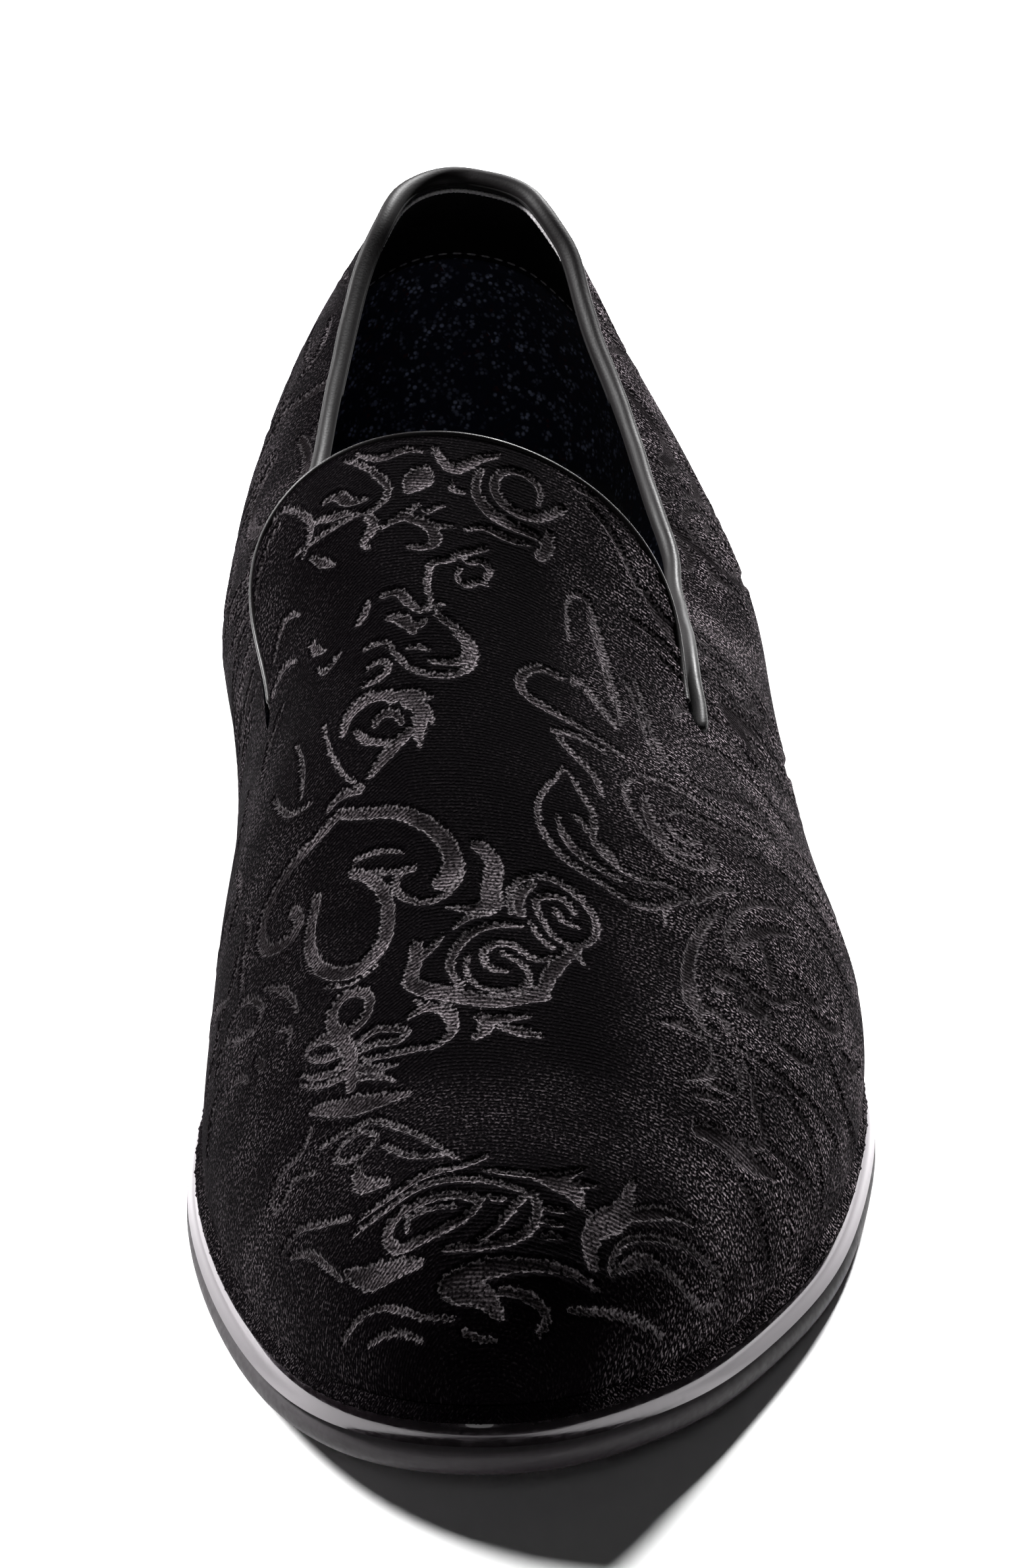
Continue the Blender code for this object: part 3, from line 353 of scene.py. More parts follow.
    ((0.4, 0.8, 0.3), ((60, 129), (67, 131), (74, 129), (79, 124))),
    ((0.4, 0.8, 0.3), ((46, 148), (52, 151), (59, 151), (66, 147))),
    ((0.4, 0.7, 0.3), ((42, 152), (46, 158), (53, 160))),
    ((0.4, 0.8, 0.3), ((64, 138), (71, 141), (78, 140))),
    # Eye and leaves on the medial side
    ((0.3, 0.7, 0.4), ((-46, 97.2), (-42, 98), (-38.4, 94.6), (-37, 90.4), (-39, 88.4))),
    ((0.3, 0.5, 0.4), ((-45, 93), (-42.4, 90.6), (-39.4, 89.4))),
    ((0.3, 0.7, 0.3), ((-36, 95), (-33, 92), (-30.6, 88), (-29.4, 84))),
    ((0.3, 0.6, 0.3), ((-49.4, 103), (-45.4, 106), (-43.4, 111))),
    ((0.3, 0.6, 0.3), ((-42, 101), (-42, 106), (-40, 111), (-41, 116))),
    ((0.6, 0.8, 0.5), ((-38.4, 82), (-37.6, 80.4), (-37.4, 79))),
    ((0.3, 0.5, 0.3), ((-33.4, 83.4), (-31, 81.2), (-31.6, 79))),
    ((0.3, 0.7, 0.3), ((-51, 92.4), (-48.6, 95.6), (-46, 94.4))),
    ((0.3, 0.7, 0.3), ((-46, 84.4), (-42.6, 82.6), (-41, 80))),
    ((0.3, 0.9, 0.4), ((-60, 114), (-54, 110), (-47, 104.4))),
    ((0.4, 0.8, 0.3), ((-58, 97), (-53, 99), (-50, 103.6))),
    ((0.4, 0.8, 0.3), ((-58, 84), (-54, 87), (-50, 87.4))),
    ((0.4, 0.8, 0.3), ((-47, 120), (-43, 124), (-44, 130))),
    ((0.4, 0.8, 0.3), ((-58, 127), (-53, 124), (-49, 127))),
    ((0.4, 0.9, 0.3), ((-36, 144), (-34, 150), (-30, 154))),
    ((0.4, 0.8, 0.3), ((-48, 138), (-44, 143), (-43, 149))),
    ((0.4, 0.7, 0.3), ((-32, 166), (-27, 170), (-24, 168))),
    ((0.4, 0.7, 0.3), ((-34, 160), (-29, 162), (-26, 160))),
)


# The last

def column(table: tuple, names: tuple, name: str) -> np.ndarray:
    """Return one named column of a table."""
    return np.array([row[names.index(name)] for row in table], dtype=float)


def turn_at(along: np.ndarray | float) -> np.ndarray:
    """Return the turn, 0 at the heel to half a turn at the toe, of a share of the length."""
    return np.arccos(1.0 - 2.0 * np.asarray(along, dtype=float))


def spline(knots: np.ndarray, values: np.ndarray) -> Callable[[np.ndarray], np.ndarray]:
    """Return the natural cubic spline through values.

    Args:
        knots: rising places of the values.
        values: one value at each knot.

    Returns:
        A function from places to spline values.
    """
    widths = np.diff(knots)
    slopes = np.diff(values) / widths
    count = len(knots)
    matrix = np.eye(count)
    right_side = np.zeros(count)
    for index in range(1, count - 1):
        matrix[index, index - 1:index + 2] = (
            widths[index - 1], 2.0 * (widths[index - 1] + widths[index]), widths[index])
        right_side[index] = slopes[index] - slopes[index - 1]
    bends = np.linalg.solve(matrix, right_side)

    def value_at(place: np.ndarray) -> np.ndarray:
        """Return the spline's values at these places."""
        place = np.asarray(place, dtype=float)
        index = np.clip(np.searchsorted(knots, place, side="right") - 1, 0, count - 2)
        width = widths[index]
        after = place - knots[index]
        before = knots[index + 1] - place
        cubic = bends[index] * before ** 3 + bends[index + 1] * after ** 3
        start = (values[index] / width - bends[index] * width) * before
        end = (values[index + 1] / width - bends[index + 1] * width) * after
        return cubic / width + start + end

    return value_at


def half_turn(turn: np.ndarray) -> np.ndarray:
    """Fold a turn of either side onto 0 at the heel to half a turn at the toe."""
    turn = np.mod(turn, FULL_TURN)
    return np.minimum(turn, FULL_TURN - turn)


def smooth_step(low: float, high: float, value: np.ndarray) -> np.ndarray:
    """Return an eased 0 to 1 as the value goes from low to high."""
    share = np.clip((value - low) / (high - low), 0.0, 1.0)
    return share * share * (3.0 - 2.0 * share)


def arc_lengths(path: np.ndarray) -> np.ndarray:
    """Return the length run at each point of a path."""
    return np.concatenate([[0.0], np.cumsum(np.linalg.norm(np.diff(path, axis=0), axis=1))])


def unit(vectors: np.ndarray) -> np.ndarray:
    """Return the vectors at length 1."""
    return vectors / np.linalg.norm(vectors, axis=-1, keepdims=True)


def oval(corners: int, side: float, up: float) -> np.ndarray:
    """Return the corners of an oval section with these two radii."""
    angles = np.arange(corners) * FULL_TURN / corners
    return np.stack([side * np.cos(angles), up * np.sin(angles)], axis=1)


def look_up(table: np.ndarray, row: np.ndarray, place: np.ndarray) -> np.ndarray:
    """Return a table's values between its rows and columns."""
    i, j = row.astype(int), place.astype(int)
    a, b = row - i, place - j
    low = table[i, j] * (1.0 - b) + table[i, j + 1] * b
    high = table[i + 1, j] * (1.0 - b) + table[i + 1, j + 1] * b
    return low * (1.0 - a) + high * a


@dataclass(frozen=True)
class Last:
    """The wooden form's sizes in metres, with the surface that the upper is pulled over."""

    length: float = 0.302
    ball_width: float = 0.108
    instep_height: float = 0.070
    collar_height: float = 0.086
    heel_height: float = 0.017
    toe_spring: float = 0.008
    heel_length: float = 0.072
    outsole: float = 0.0050
    welt: float = 0.0033
    ledge: float = 0.0026
    top_lift: float = 0.0060
    insole: float = 0.0030
    wall: float = 0.0018
    notch_width: float = 0.0050
    tongue_length: float = 0.037
    gap: float = 0.0003
    heel_centre: float = 0.140
    heel_blend: float = 0.10
    heel_flat: float = 0.200
    tread_start: float = 0.622
    tread_end: float = 0.795
    notch_place: float = 0.523
    collar_ease: float = 0.16
    medial_square: float = 0.667
    lateral_square: float = 0.87
    tongue_corner: float = 0.70
    medial_padding: float = 0.0016
    lateral_padding: float = 0.0022
    shoulder_padding: float = 0.0030

    def side_spline(self, table: tuple, names: tuple, medial: str, lateral: str) -> Callable:
        """Return a medial and a lateral column as one closed spline over the full turn."""
        turns = turn_at(column(table, names, "along"))
        loop = np.concatenate([column(table, names, medial),
                               column(table, names, lateral)[-2:0:-1]])
        one_turn = np.concatenate([turns, FULL_TURN - turns[-2:0:-1]])
        knots = np.concatenate([one_turn - FULL_TURN, one_turn, one_turn + FULL_TURN])
        across = spline(knots, np.tile(loop, 3))
        return lambda turn: across(np.mod(turn, FULL_TURN))

    def __post_init__(self) -> None:
        """Prepare the splines, once for each last."""
        ribs = turn_at(column(RIBS, RIB_COLUMNS, "along"))
        tops = turn_at(column(TOP_LINE, TOP_LINE_COLUMNS, "along"))
        keep = object.__setattr__
        keep(self, "outline_x", self.side_spline(OUTLINE, OUTLINE_COLUMNS, "medial", "lateral"))
        keep(self, "bulge", self.side_spline(RIBS, RIB_COLUMNS, "medial_bulge", "lateral_bulge"))
        keep(self, "wall_rise", self.side_spline(RIBS, RIB_COLUMNS, "wall", "wall"))
        keep(self, "crown", self.side_spline(RIBS, RIB_COLUMNS, "medial_crown", "lateral_crown"))
        keep(self, "ridge_rise", spline(ribs, column(RIBS, RIB_COLUMNS, "ridge")))
        keep(self, "ridge_x", spline(ribs, column(RIBS, RIB_COLUMNS, "ridge_x")))
        samples = self.outline_x(np.linspace(0.0, FULL_TURN, 721))
        keep(self, "middle_x", 0.5 * (samples.max() + samples.min()))
        for name in ("height", "ridge_drop", "crown_drop"):
            values = column(TOP_LINE, TOP_LINE_COLUMNS, name)
            both = np.concatenate([values[:0:-1], values])
            keep(self, "top_" + name, spline(np.concatenate([-tops[:0:-1], tops]), both))

    def outline_point(self, turn: np.ndarray, offset: float | np.ndarray) -> tuple:
        """Return x, y and the outward normal's x and y of the outline, moved out by the offset."""
        step = 1e-4
        x = self.ball_width * (self.outline_x(turn) - self.middle_x)
        y = 0.5 * self.length * np.cos(turn)
        run_x = self.outline_x(turn + step) - self.outline_x(turn - step)
        run_x = self.ball_width * run_x / (2.0 * step)
        run_y = -0.5 * self.length * np.sin(turn)
        run = np.hypot(run_x, run_y)
        return x + offset * run_y / run, y - offset * run_x / run, run_y / run, -run_x / run

    def outward(self, turn: np.ndarray) -> np.ndarray:
        """Return the level directions that point out of the outline."""
        _, _, normal_x, normal_y = self.outline_point(turn, 0.0)
        return np.stack([normal_x, normal_y, np.zeros_like(normal_x)], axis=-1)

    def sole_curve(self, y: np.ndarray) -> np.ndarray:
        """Return the height of the outsole's underside."""
        along = 0.5 - np.asarray(y, dtype=float) / self.length
        shank = np.clip((self.tread_start - along) / (self.tread_start - self.heel_flat), 0.0, 1.0)
        spring = np.clip((along - self.tread_end) / (1.0 - self.tread_end), 0.0, None)
        return self.heel_height * shank ** 2 * (3.0 - 2.0 * shank) + self.toe_spring * spring ** 2

    def welt_base(self, y: np.ndarray) -> np.ndarray:
        """Return the height of the welt's underside."""
        return self.sole_curve(y) + self.outsole + self.gap

    def seat(self, y: np.ndarray) -> np.ndarray:
        """Return the height of the line where the upper meets the welt."""
        return self.welt_base(y) + self.welt + self.gap

    def rib_points(self, turn: np.ndarray, quarters: bool) -> tuple:
        """Return the four control points of the ribs.

        Args:
            turn: places round the shoe.
            quarters: True for the drawn-in ribs of the quarters.

        Returns:
            Foot, low, high and ridge points, each as an array of xyz.
        """
        x, y, normal_x, normal_y = self.outline_point(turn, -self.ledge)
        foot = np.stack([x, y, self.seat(y)], axis=-1)
        to_centre = (turn_at(self.heel_centre) - half_turn(turn)) / self.heel_blend
        fold = half_turn(turn) + self.heel_blend * np.log1p(np.exp(to_centre))
        ridge_y = (0.5 * self.length - self.ledge) * np.cos(fold)
        ridge_rise = self.instep_height * self.ridge_rise(fold)
        crown = self.crown(turn)
        if quarters:
            along = 0.5 - 0.5 * np.cos(fold)
            ease = smooth_step(0.0, 1.0, (self.notch_place - along) / self.collar_ease)
            drawn_in = self.collar_height * 14.0 / 17.0 * self.ridge_rise(fold)
            drawn_in = drawn_in * (1.0 - self.top_ridge_drop(fold))
            ridge_rise = (1.0 - ease) * ridge_rise + ease * drawn_in
            crown = crown * (1.0 - self.top_crown_drop(fold) * ease)
        ridge_x = self.ball_width * (self.ridge_x(fold) - self.middle_x)
        ridge = np.stack([ridge_x, ridge_y, self.seat(ridge_y) + ridge_rise], axis=-1)
        rise = ridge[..., 2] - foot[..., 2]
        lean = self.ball_width * self.bulge(turn)
        wall = self.wall_rise(turn) * rise
        low = foot + np.stack([lean * normal_x, lean * normal_y, wall], axis=-1)
        high = ridge.copy()
        high[..., :2] += (foot - ridge)[..., :2] * crown[..., None]
        return foot, low, high, ridge

    def point(self, turn: np.ndarray, climb: np.ndarray, quarters: bool = False) -> np.ndarray:
        """Return points of the last: climb runs from 0 at the sole's edge to 1 at the ridge."""
        turn, climb = np.broadcast_arrays(np.asarray(turn, float), np.asarray(climb, float))
        foot, low, high, ridge = self.rib_points(turn, quarters)
        t = climb[..., None]
        s = 1.0 - t
        place = s ** 3 * foot + 3.0 * s * s * t * low + 3.0 * s * t * t * high + t ** 3 * ridge
        if quarters:
            place = place + self.padding(turn, climb)[..., None] * self.outward(turn)
        return place

    def padding(self, turn: np.ndarray, climb: np.ndarray) -> np.ndarray:
        """Return how far the padded quarters swell out between the sole and the top line."""
        fold = half_turn(turn)
        lateral = np.mod(turn, FULL_TURN) > math.pi
        # Each pair of steps rises and falls again: round the shoe, then up the wall
        along = smooth_step(0.35, 0.95, fold) * smooth_step(1.50, 1.15, fold)
        upward = smooth_step(0.10, 0.40, climb) * smooth_step(0.60, 0.44, climb)
        full = np.where(lateral, self.lateral_padding, self.medial_padding)
        # The lateral shoulder beside the heel's middle reaches up to the top line
        shoulder = smooth_step(0.08, 0.36, fold) * smooth_step(0.86, 0.55, fold)
        shoulder = shoulder * smooth_step(0.38, 0.60, climb) * lateral
        return full * along * upward + self.shoulder_padding * shoulder

    def normal(self, turn: np.ndarray, climb: np.ndarray, quarters: bool = False) -> np.ndarray:
        """Return the outward unit normals of the last."""
        step = 1e-4
        around = self.point(turn + step, climb, quarters) - self.point(turn - step, climb, quarters)
        upward = self.point(turn, climb + step, quarters) - self.point(turn, climb - step, quarters)
        normal = np.cross(around, upward)
        return normal / np.maximum(np.linalg.norm(normal, axis=-1, keepdims=True), 1e-12)

    def top_climb(self, turn: np.ndarray, pulled: bool = True) -> np.ndarray:
        """Return the climb of the quarters' top line at each turn.

        Args:
            turn: places round the shoe.
            pulled: True adds how far the velvet is pulled up or eased down on each side.
        """
        steps = np.linspace(0.0, 1.0, 201)
        turn = np.atleast_1d(turn)
        height = self.collar_height * self.top_height(half_turn(turn))
        heights = self.point(turn[:, None], steps[None, :], quarters=True)[..., 2]
        climb = np.array([np.interp(top, rib, steps) for top, rib in zip(height, heights)])
        if not pulled:
            return climb
        knots = np.array(PULL_TURNS)
        lateral = np.mod(turn, FULL_TURN) > math.pi
        pull = np.where(lateral, spline(knots, np.array(LATERAL_PULL))(half_turn(turn)),
                        spline(knots, np.array(MEDIAL_PULL))(half_turn(turn)))
        return climb + pull * MM * self.climb_per_metre(turn, climb)

    def climb_per_metre(self, turn: np.ndarray, climb: np.ndarray) -> np.ndarray:
        """Return how fast the quarters' climb grows with length along the rib."""
        step = 1e-3
        span = self.point(turn, climb + step, True) - self.point(turn, climb - step, True)
        return 2.0 * step / np.linalg.norm(span, axis=-1)

    def notch_turn(self) -> float:
        """Return the turn of the notches, on the medial side."""
        return float(turn_at(self.notch_place))


@dataclass(frozen=True)
class Cloth:
    """Flat coordinates of the cloth on the last, in millimetres."""

    last: Last
    turns: int = 181
    climbs: int = 81

    def __post_init__(self) -> None:
        """Measure the lengths of all ribs, of the ridge and of the sole's edge."""
        keep = object.__setattr__
        notch = self.last.notch_turn()
        climbs = np.linspace(0.0, 1.0, self.climbs)
        for name, low, high, quarters in (("front", 0.8, FULL_TURN - 0.8, False),
                                          ("back", -notch, notch, True)):
            turns = np.linspace(low, high, 2 * self.turns)
            points = self.last.point(turns[:, None], climbs[None, :], quarters)
            steps = np.linalg.norm(np.diff(points, axis=1), axis=2) / MM
            to_ridge = np.cumsum(steps[:, ::-1], axis=1)[:, ::-1]
            keep(self, name + "_turns", turns)
            keep(self, name + "_lengths", np.pad(to_ridge, ((0, 0), (0, 1))))
        folds = np.linspace(0.6, math.pi, 800)
        ridge = self.last.point(folds, np.ones_like(folds))
        keep(self, "folds", folds)
        keep(self, "ridge_lengths", arc_lengths(ridge[::-1])[::-1] / MM)
        around = np.linspace(notch, 0.0, 400)
        edge = self.last.point(around, np.zeros_like(around))
        keep(self, "around", around)
        keep(self, "edge_lengths", arc_lengths(edge) / MM)

    def rib_length(self, turn: np.ndarray, climb: np.ndarray, quarters: bool) -> np.ndarray:
        """Return the length from a point along its rib to the ridge."""
        turns = self.back_turns if quarters else self.front_turns
        lengths = self.back_lengths if quarters else self.front_lengths
        row = np.clip((turn - turns[0]) / (turns[1] - turns[0]), 0.0, len(turns) - 1.001)
        place = np.clip(climb, 0.0, 1.0) * (self.climbs - 1.001)
        return look_up(lengths, row, place)

    def flat(self, turn: np.ndarray, climb: np.ndarray, quarters: bool) -> tuple:
        """Return flat cloth coordinates.

        Args:
            turn: places round the shoe.
            climb: places up the ribs.
            quarters: True for the quarters, whose cloth goes on from the notch round the heel.

        Returns:
            Millimetres across from the ridge, lateral positive, and millimetres up from the toe.
        """
        lateral = np.mod(turn, FULL_TURN) > math.pi
        side = np.where(lateral, 1.0, -1.0)
        fold = half_turn(turn)
        if not quarters:
            up = np.interp(fold, self.folds, self.ridge_lengths)
            return side * self.rib_length(turn, climb, False), up
        notch = self.last.notch_turn()
        whole = np.where(lateral, self.rib_length(np.full_like(turn, -notch), 0.0 * climb, True),
                         self.rib_length(np.full_like(turn, notch), 0.0 * climb, True))
        risen = self.rib_length(turn, 0.0 * climb, True) - self.rib_length(turn, climb, True)
        start = np.interp(notch, self.folds, self.ridge_lengths)
        beyond = np.interp(-fold, -self.around, self.edge_lengths)
        return side * (whole - risen), start + beyond


@dataclass(frozen=True)
class ScrollChart:
    """The scroll pattern as a map of the distance to the nearest pressed stroke."""

    strokes: tuple = SCROLLS
    cell: float = 0.2
    low: tuple = (-100.0, -5.0)
    high: tuple = (100.0, 345.0)
    reach: float = 3.0
    repeat: tuple = (62.0, 146.0)
    vamp_half_width: float = 90.0
    vamp_top: float = 200.0
    quarter_start: float = 163.0

    def __post_init__(self) -> None:
        """Draw all strokes into the map."""
        columns = int((self.high[0] - self.low[0]) / self.cell) + 1
        rows = int((self.high[1] - self.low[1]) / self.cell) + 1
        field = np.full((rows, columns), self.reach)
        for widths, points in self.strokes:
            path = np.array(points, dtype=float)
            for place in (path, self.on_quarter(path, 1.0), self.on_quarter(path, -1.0)):
                self.draw(field, widths, place)
        object.__setattr__(self, "field", field)

    def on_quarter(self, points: np.ndarray, side: float) -> np.ndarray:
        """Return a stroke of the repeat that the quarters are cut from, on one side."""
        across = side * (self.repeat[0] + points[:, 0])
        return np.stack([across, points[:, 1] + self.repeat[1]], axis=1)

    def draw(self, field: np.ndarray, widths: tuple, points: np.ndarray) -> None:
        """Draw one stroke into the map.

        Args:
            field: the map, changed in place.
            widths: half widths at the start, middle and end.
            points: the stroke's path in cloth millimetres.
        """
        top, wide = points[:, 1].max(), abs(points[:, 0]).max()
        on_quarter = top > self.vamp_top or wide > self.vamp_half_width
        if on_quarter and points[:, 1].min() < self.quarter_start:
            return
        knots = arc_lengths(points)
        count = max(int(knots[-1] / 0.5), 4)
        place = np.linspace(0.0, knots[-1], count)
        path = np.stack([spline(knots, points[:, axis])(place) for axis in (0, 1)], axis=1)
        half = np.interp(place / knots[-1], (0.0, 0.5, 1.0), widths)
        margin = self.reach + half.max()
        first = np.floor((path.min(axis=0) - margin - self.low) / self.cell).astype(int)
        last = np.ceil((path.max(axis=0) + margin - self.low) / self.cell).astype(int)
        first = np.maximum(first, 0)
        last = np.minimum(last, np.array(field.shape)[::-1] - 1)
        if (last <= first).any():
            return
        u = self.low[0] + self.cell * np.arange(first[0], last[0] + 1)
        v = self.low[1] + self.cell * np.arange(first[1], last[1] + 1)
        grid_u, grid_v = np.meshgrid(u, v)
        nearest = field[first[1]:last[1] + 1, first[0]:last[0] + 1]
        for start, end, wide, narrow in zip(path[:-1], path[1:], half[:-1], half[1:]):
            run = end - start
            share = ((grid_u - start[0]) * run[0] + (grid_v - start[1]) * run[1]) / (run @ run)
            share = np.clip(share, 0.0, 1.0)
            away = np.hypot(grid_u - start[0] - share * run[0], grid_v - start[1] - share * run[1])
            np.minimum(nearest, away - (wide + share * (narrow - wide)), out=nearest)

    def distance(self, u: np.ndarray, v: np.ndarray) -> np.ndarray:
        """Return the distance in mm to the nearest stroke's edge, negative inside the stroke."""
        column_at = np.clip((u - self.low[0]) / self.cell, 0.0, self.field.shape[1] - 1.001)
        row_at = np.clip((v - self.low[1]) / self.cell, 0.0, self.field.shape[0] - 1.001)
        return look_up(self.field, row_at, column_at)


# Meshes

def lay_grid(name: str, points: np.ndarray, outward: np.ndarray | None = None,
             floats: dict | None = None, uv: np.ndarray | None = None, weld: bool = False,
             ) -> bpy.types.Object:
    """Make a grid and lay its points on a surface.

    Args:
        name: the piece's name.
        points: rows x columns x 3, in metres.
        outward: directions like points that the faces must look along, or None for a closed form.
        floats: named values, one for each point, kept as attributes.
        uv: rows x columns x 2, kept as the UV map.
        weld: True merges points that meet, such as a seam or a pole.

    Returns:
        The linked object.
    """
    rows, columns = points.shape[:2]
    work = bmesh.new()
    bmesh.ops.create_grid(work, x_segments=columns - 1, y_segments=rows - 1, size=1.0)
    mesh = bpy.data.meshes.new(name)
    work.to_mesh(mesh)
    work.free()
    mesh.vertices.foreach_set("co", points.astype(np.float32).reshape(-1))
    for label, values in (floats or {}).items():
        attribute = mesh.attributes.new(label, "FLOAT", "POINT")
        attribute.data.foreach_set("value", values.astype(np.float32).reshape(-1))
    if uv is not None:
        corners = np.empty(len(mesh.loops), dtype=np.int32)
        mesh.loops.foreach_get("vertex_index", corners)
        layer = mesh.uv_layers.new(name="cloth")
        layer.data.foreach_set("uv", uv.reshape(-1, 2)[corners].astype(np.float32).reshape(-1))
    work = bmesh.new()
    work.from_mesh(mesh)
    if weld:
        bmesh.ops.remove_doubles(work, verts=work.verts, dist=1e-6)
    if outward is None:
        bmesh.ops.recalc_face_normals(work, faces=work.faces)
    else:
        work.verts.ensure_lookup_table()
        work.faces.ensure_lookup_table()
        middle = len(work.faces) // 2
        face = work.faces[middle]
        row, place = divmod(middle, columns - 1)
        if face.normal.dot(Vector(outward[row, place])) < 0.0:
            bmesh.ops.reverse_faces(work, faces=work.faces)
    work.to_mesh(mesh)
    work.free()
    mesh.shade_smooth()
    piece = bpy.data.objects.new(name, mesh)
    bpy.context.scene.collection.objects.link(piece)
    return piece


def ride_as(piece: bpy.types.Object, material: bpy.types.Material, slot: str, *nodes: str) -> None:
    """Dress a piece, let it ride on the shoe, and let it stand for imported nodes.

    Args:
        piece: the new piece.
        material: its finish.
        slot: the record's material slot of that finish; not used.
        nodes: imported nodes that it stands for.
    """
    piece.data.materials.clear()
    piece.data.materials.append(material)
    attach(piece, "root")
    if nodes:
        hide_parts(*nodes)
    LOG.info("piece %s: %d faces", piece.name, len(piece.data.polygons))


def roll_uv(length: np.ndarray, girth: np.ndarray) -> np.ndarray:
    """Return the UV coordinates of a roll from the lengths along it and round it."""
    return np.stack(np.broadcast_arrays(length[:, None], girth[None, :]), axis=-1)


def sweep(name: str, path: np.ndarray, side: np.ndarray, up: np.ndarray, section: np.ndarray,
          scale: np.ndarray) -> bpy.types.Object:
    """Make a closed roll along a path.

    Args:
        name: the piece's name.
        path: stations x 3.
        side: the section's first axis at each station.
        up: the section's second axis at each station.
        section: corners x 2, in metres along side and up.
        scale: the section's scale at each station, 0 where an end closes.

    Returns:
        The linked object.
    """
    loop = np.concatenate([section, section[:1]])
    across = loop[None, :, 0, None] * side[:, None, :] + loop[None, :, 1, None] * up[:, None, :]
    points = path[:, None, :] + scale[:, None, None] * across
    return lay_grid(name, points, uv=roll_uv(arc_lengths(path), arc_lengths(loop)), weld=True)


# Finishes

EASED = {"interpolation_type": "SMOOTHSTEP"}
# A colour mix has its two colours at these inputs and its result at this output
COLOUR_A, COLOUR_B = 6, 7
COLOURS = {"data_type": "RGBA", "pick": 2}


def hex_colour(code: str) -> tuple:
    """Return an sRGB hex colour such as #1a2b3c as linear RGBA."""
    parts = [int(code[place:place + 2], 16) / 255.0 for place in (1, 3, 5)]
    linear = [part / 12.92 if part <= 0.04045 else ((part + 0.055) / 1.055) ** 2.4
              for part in parts]
    return (*linear, 1.0)


def add_node(tree: bpy.types.NodeTree, kind: str, *values: object, pick: int | str = 0,
             inputs: dict | None = None, **settings: object) -> bpy.types.NodeSocket:
    """Add a node with its settings, values and links.

    Args:
        tree: the node tree.
        kind: the node's type name, after ShaderNode.
        values: values of its first inputs in order, or outputs to link to them.
        pick: name or number of the output to return.
        inputs: input name or number to a value, or to an output to link.
        settings: properties of the node.

    Returns:
        The picked output.
    """
    node = tree.nodes.new("ShaderNode" + kind)
    for name, value in settings.items():
        setattr(node, name, value)
    for key, value in (*enumerate(values), *(inputs or {}).items()):
        if isinstance(value, bpy.types.NodeSocket):
            tree.links.new(value, node.inputs[key])
        else:
            node.inputs[key].default_value = value
    return node.outputs[pick]


def new_material(name: str, **values: object) -> tuple:
    """Return a new material whose shader has these socket values, and add_node for its tree."""
    material = bpy.data.materials.new(name)
    material.use_nodes = True
    shader = material.node_tree.nodes["Principled BSDF"]
    for key, value in values.items():
        shader.inputs[key.replace("_", " ")].default_value = value
    return material, partial(add_node, material.node_tree)


def link_shader(material: bpy.types.Material,
                **outputs: bpy.types.NodeSocket) -> bpy.types.Material:
    """Link outputs to the shader's sockets of these names and return the material."""
    tree = material.node_tree
    for key, output in outputs.items():
        tree.links.new(output, tree.nodes["Principled BSDF"].inputs[key.replace("_", " ")])
    return material


class Feel(Enum):
    """How a leather's surface was finished."""

    SATIN = "satin"
    GLAZED = "glazed"
    SUEDED = "sueded"


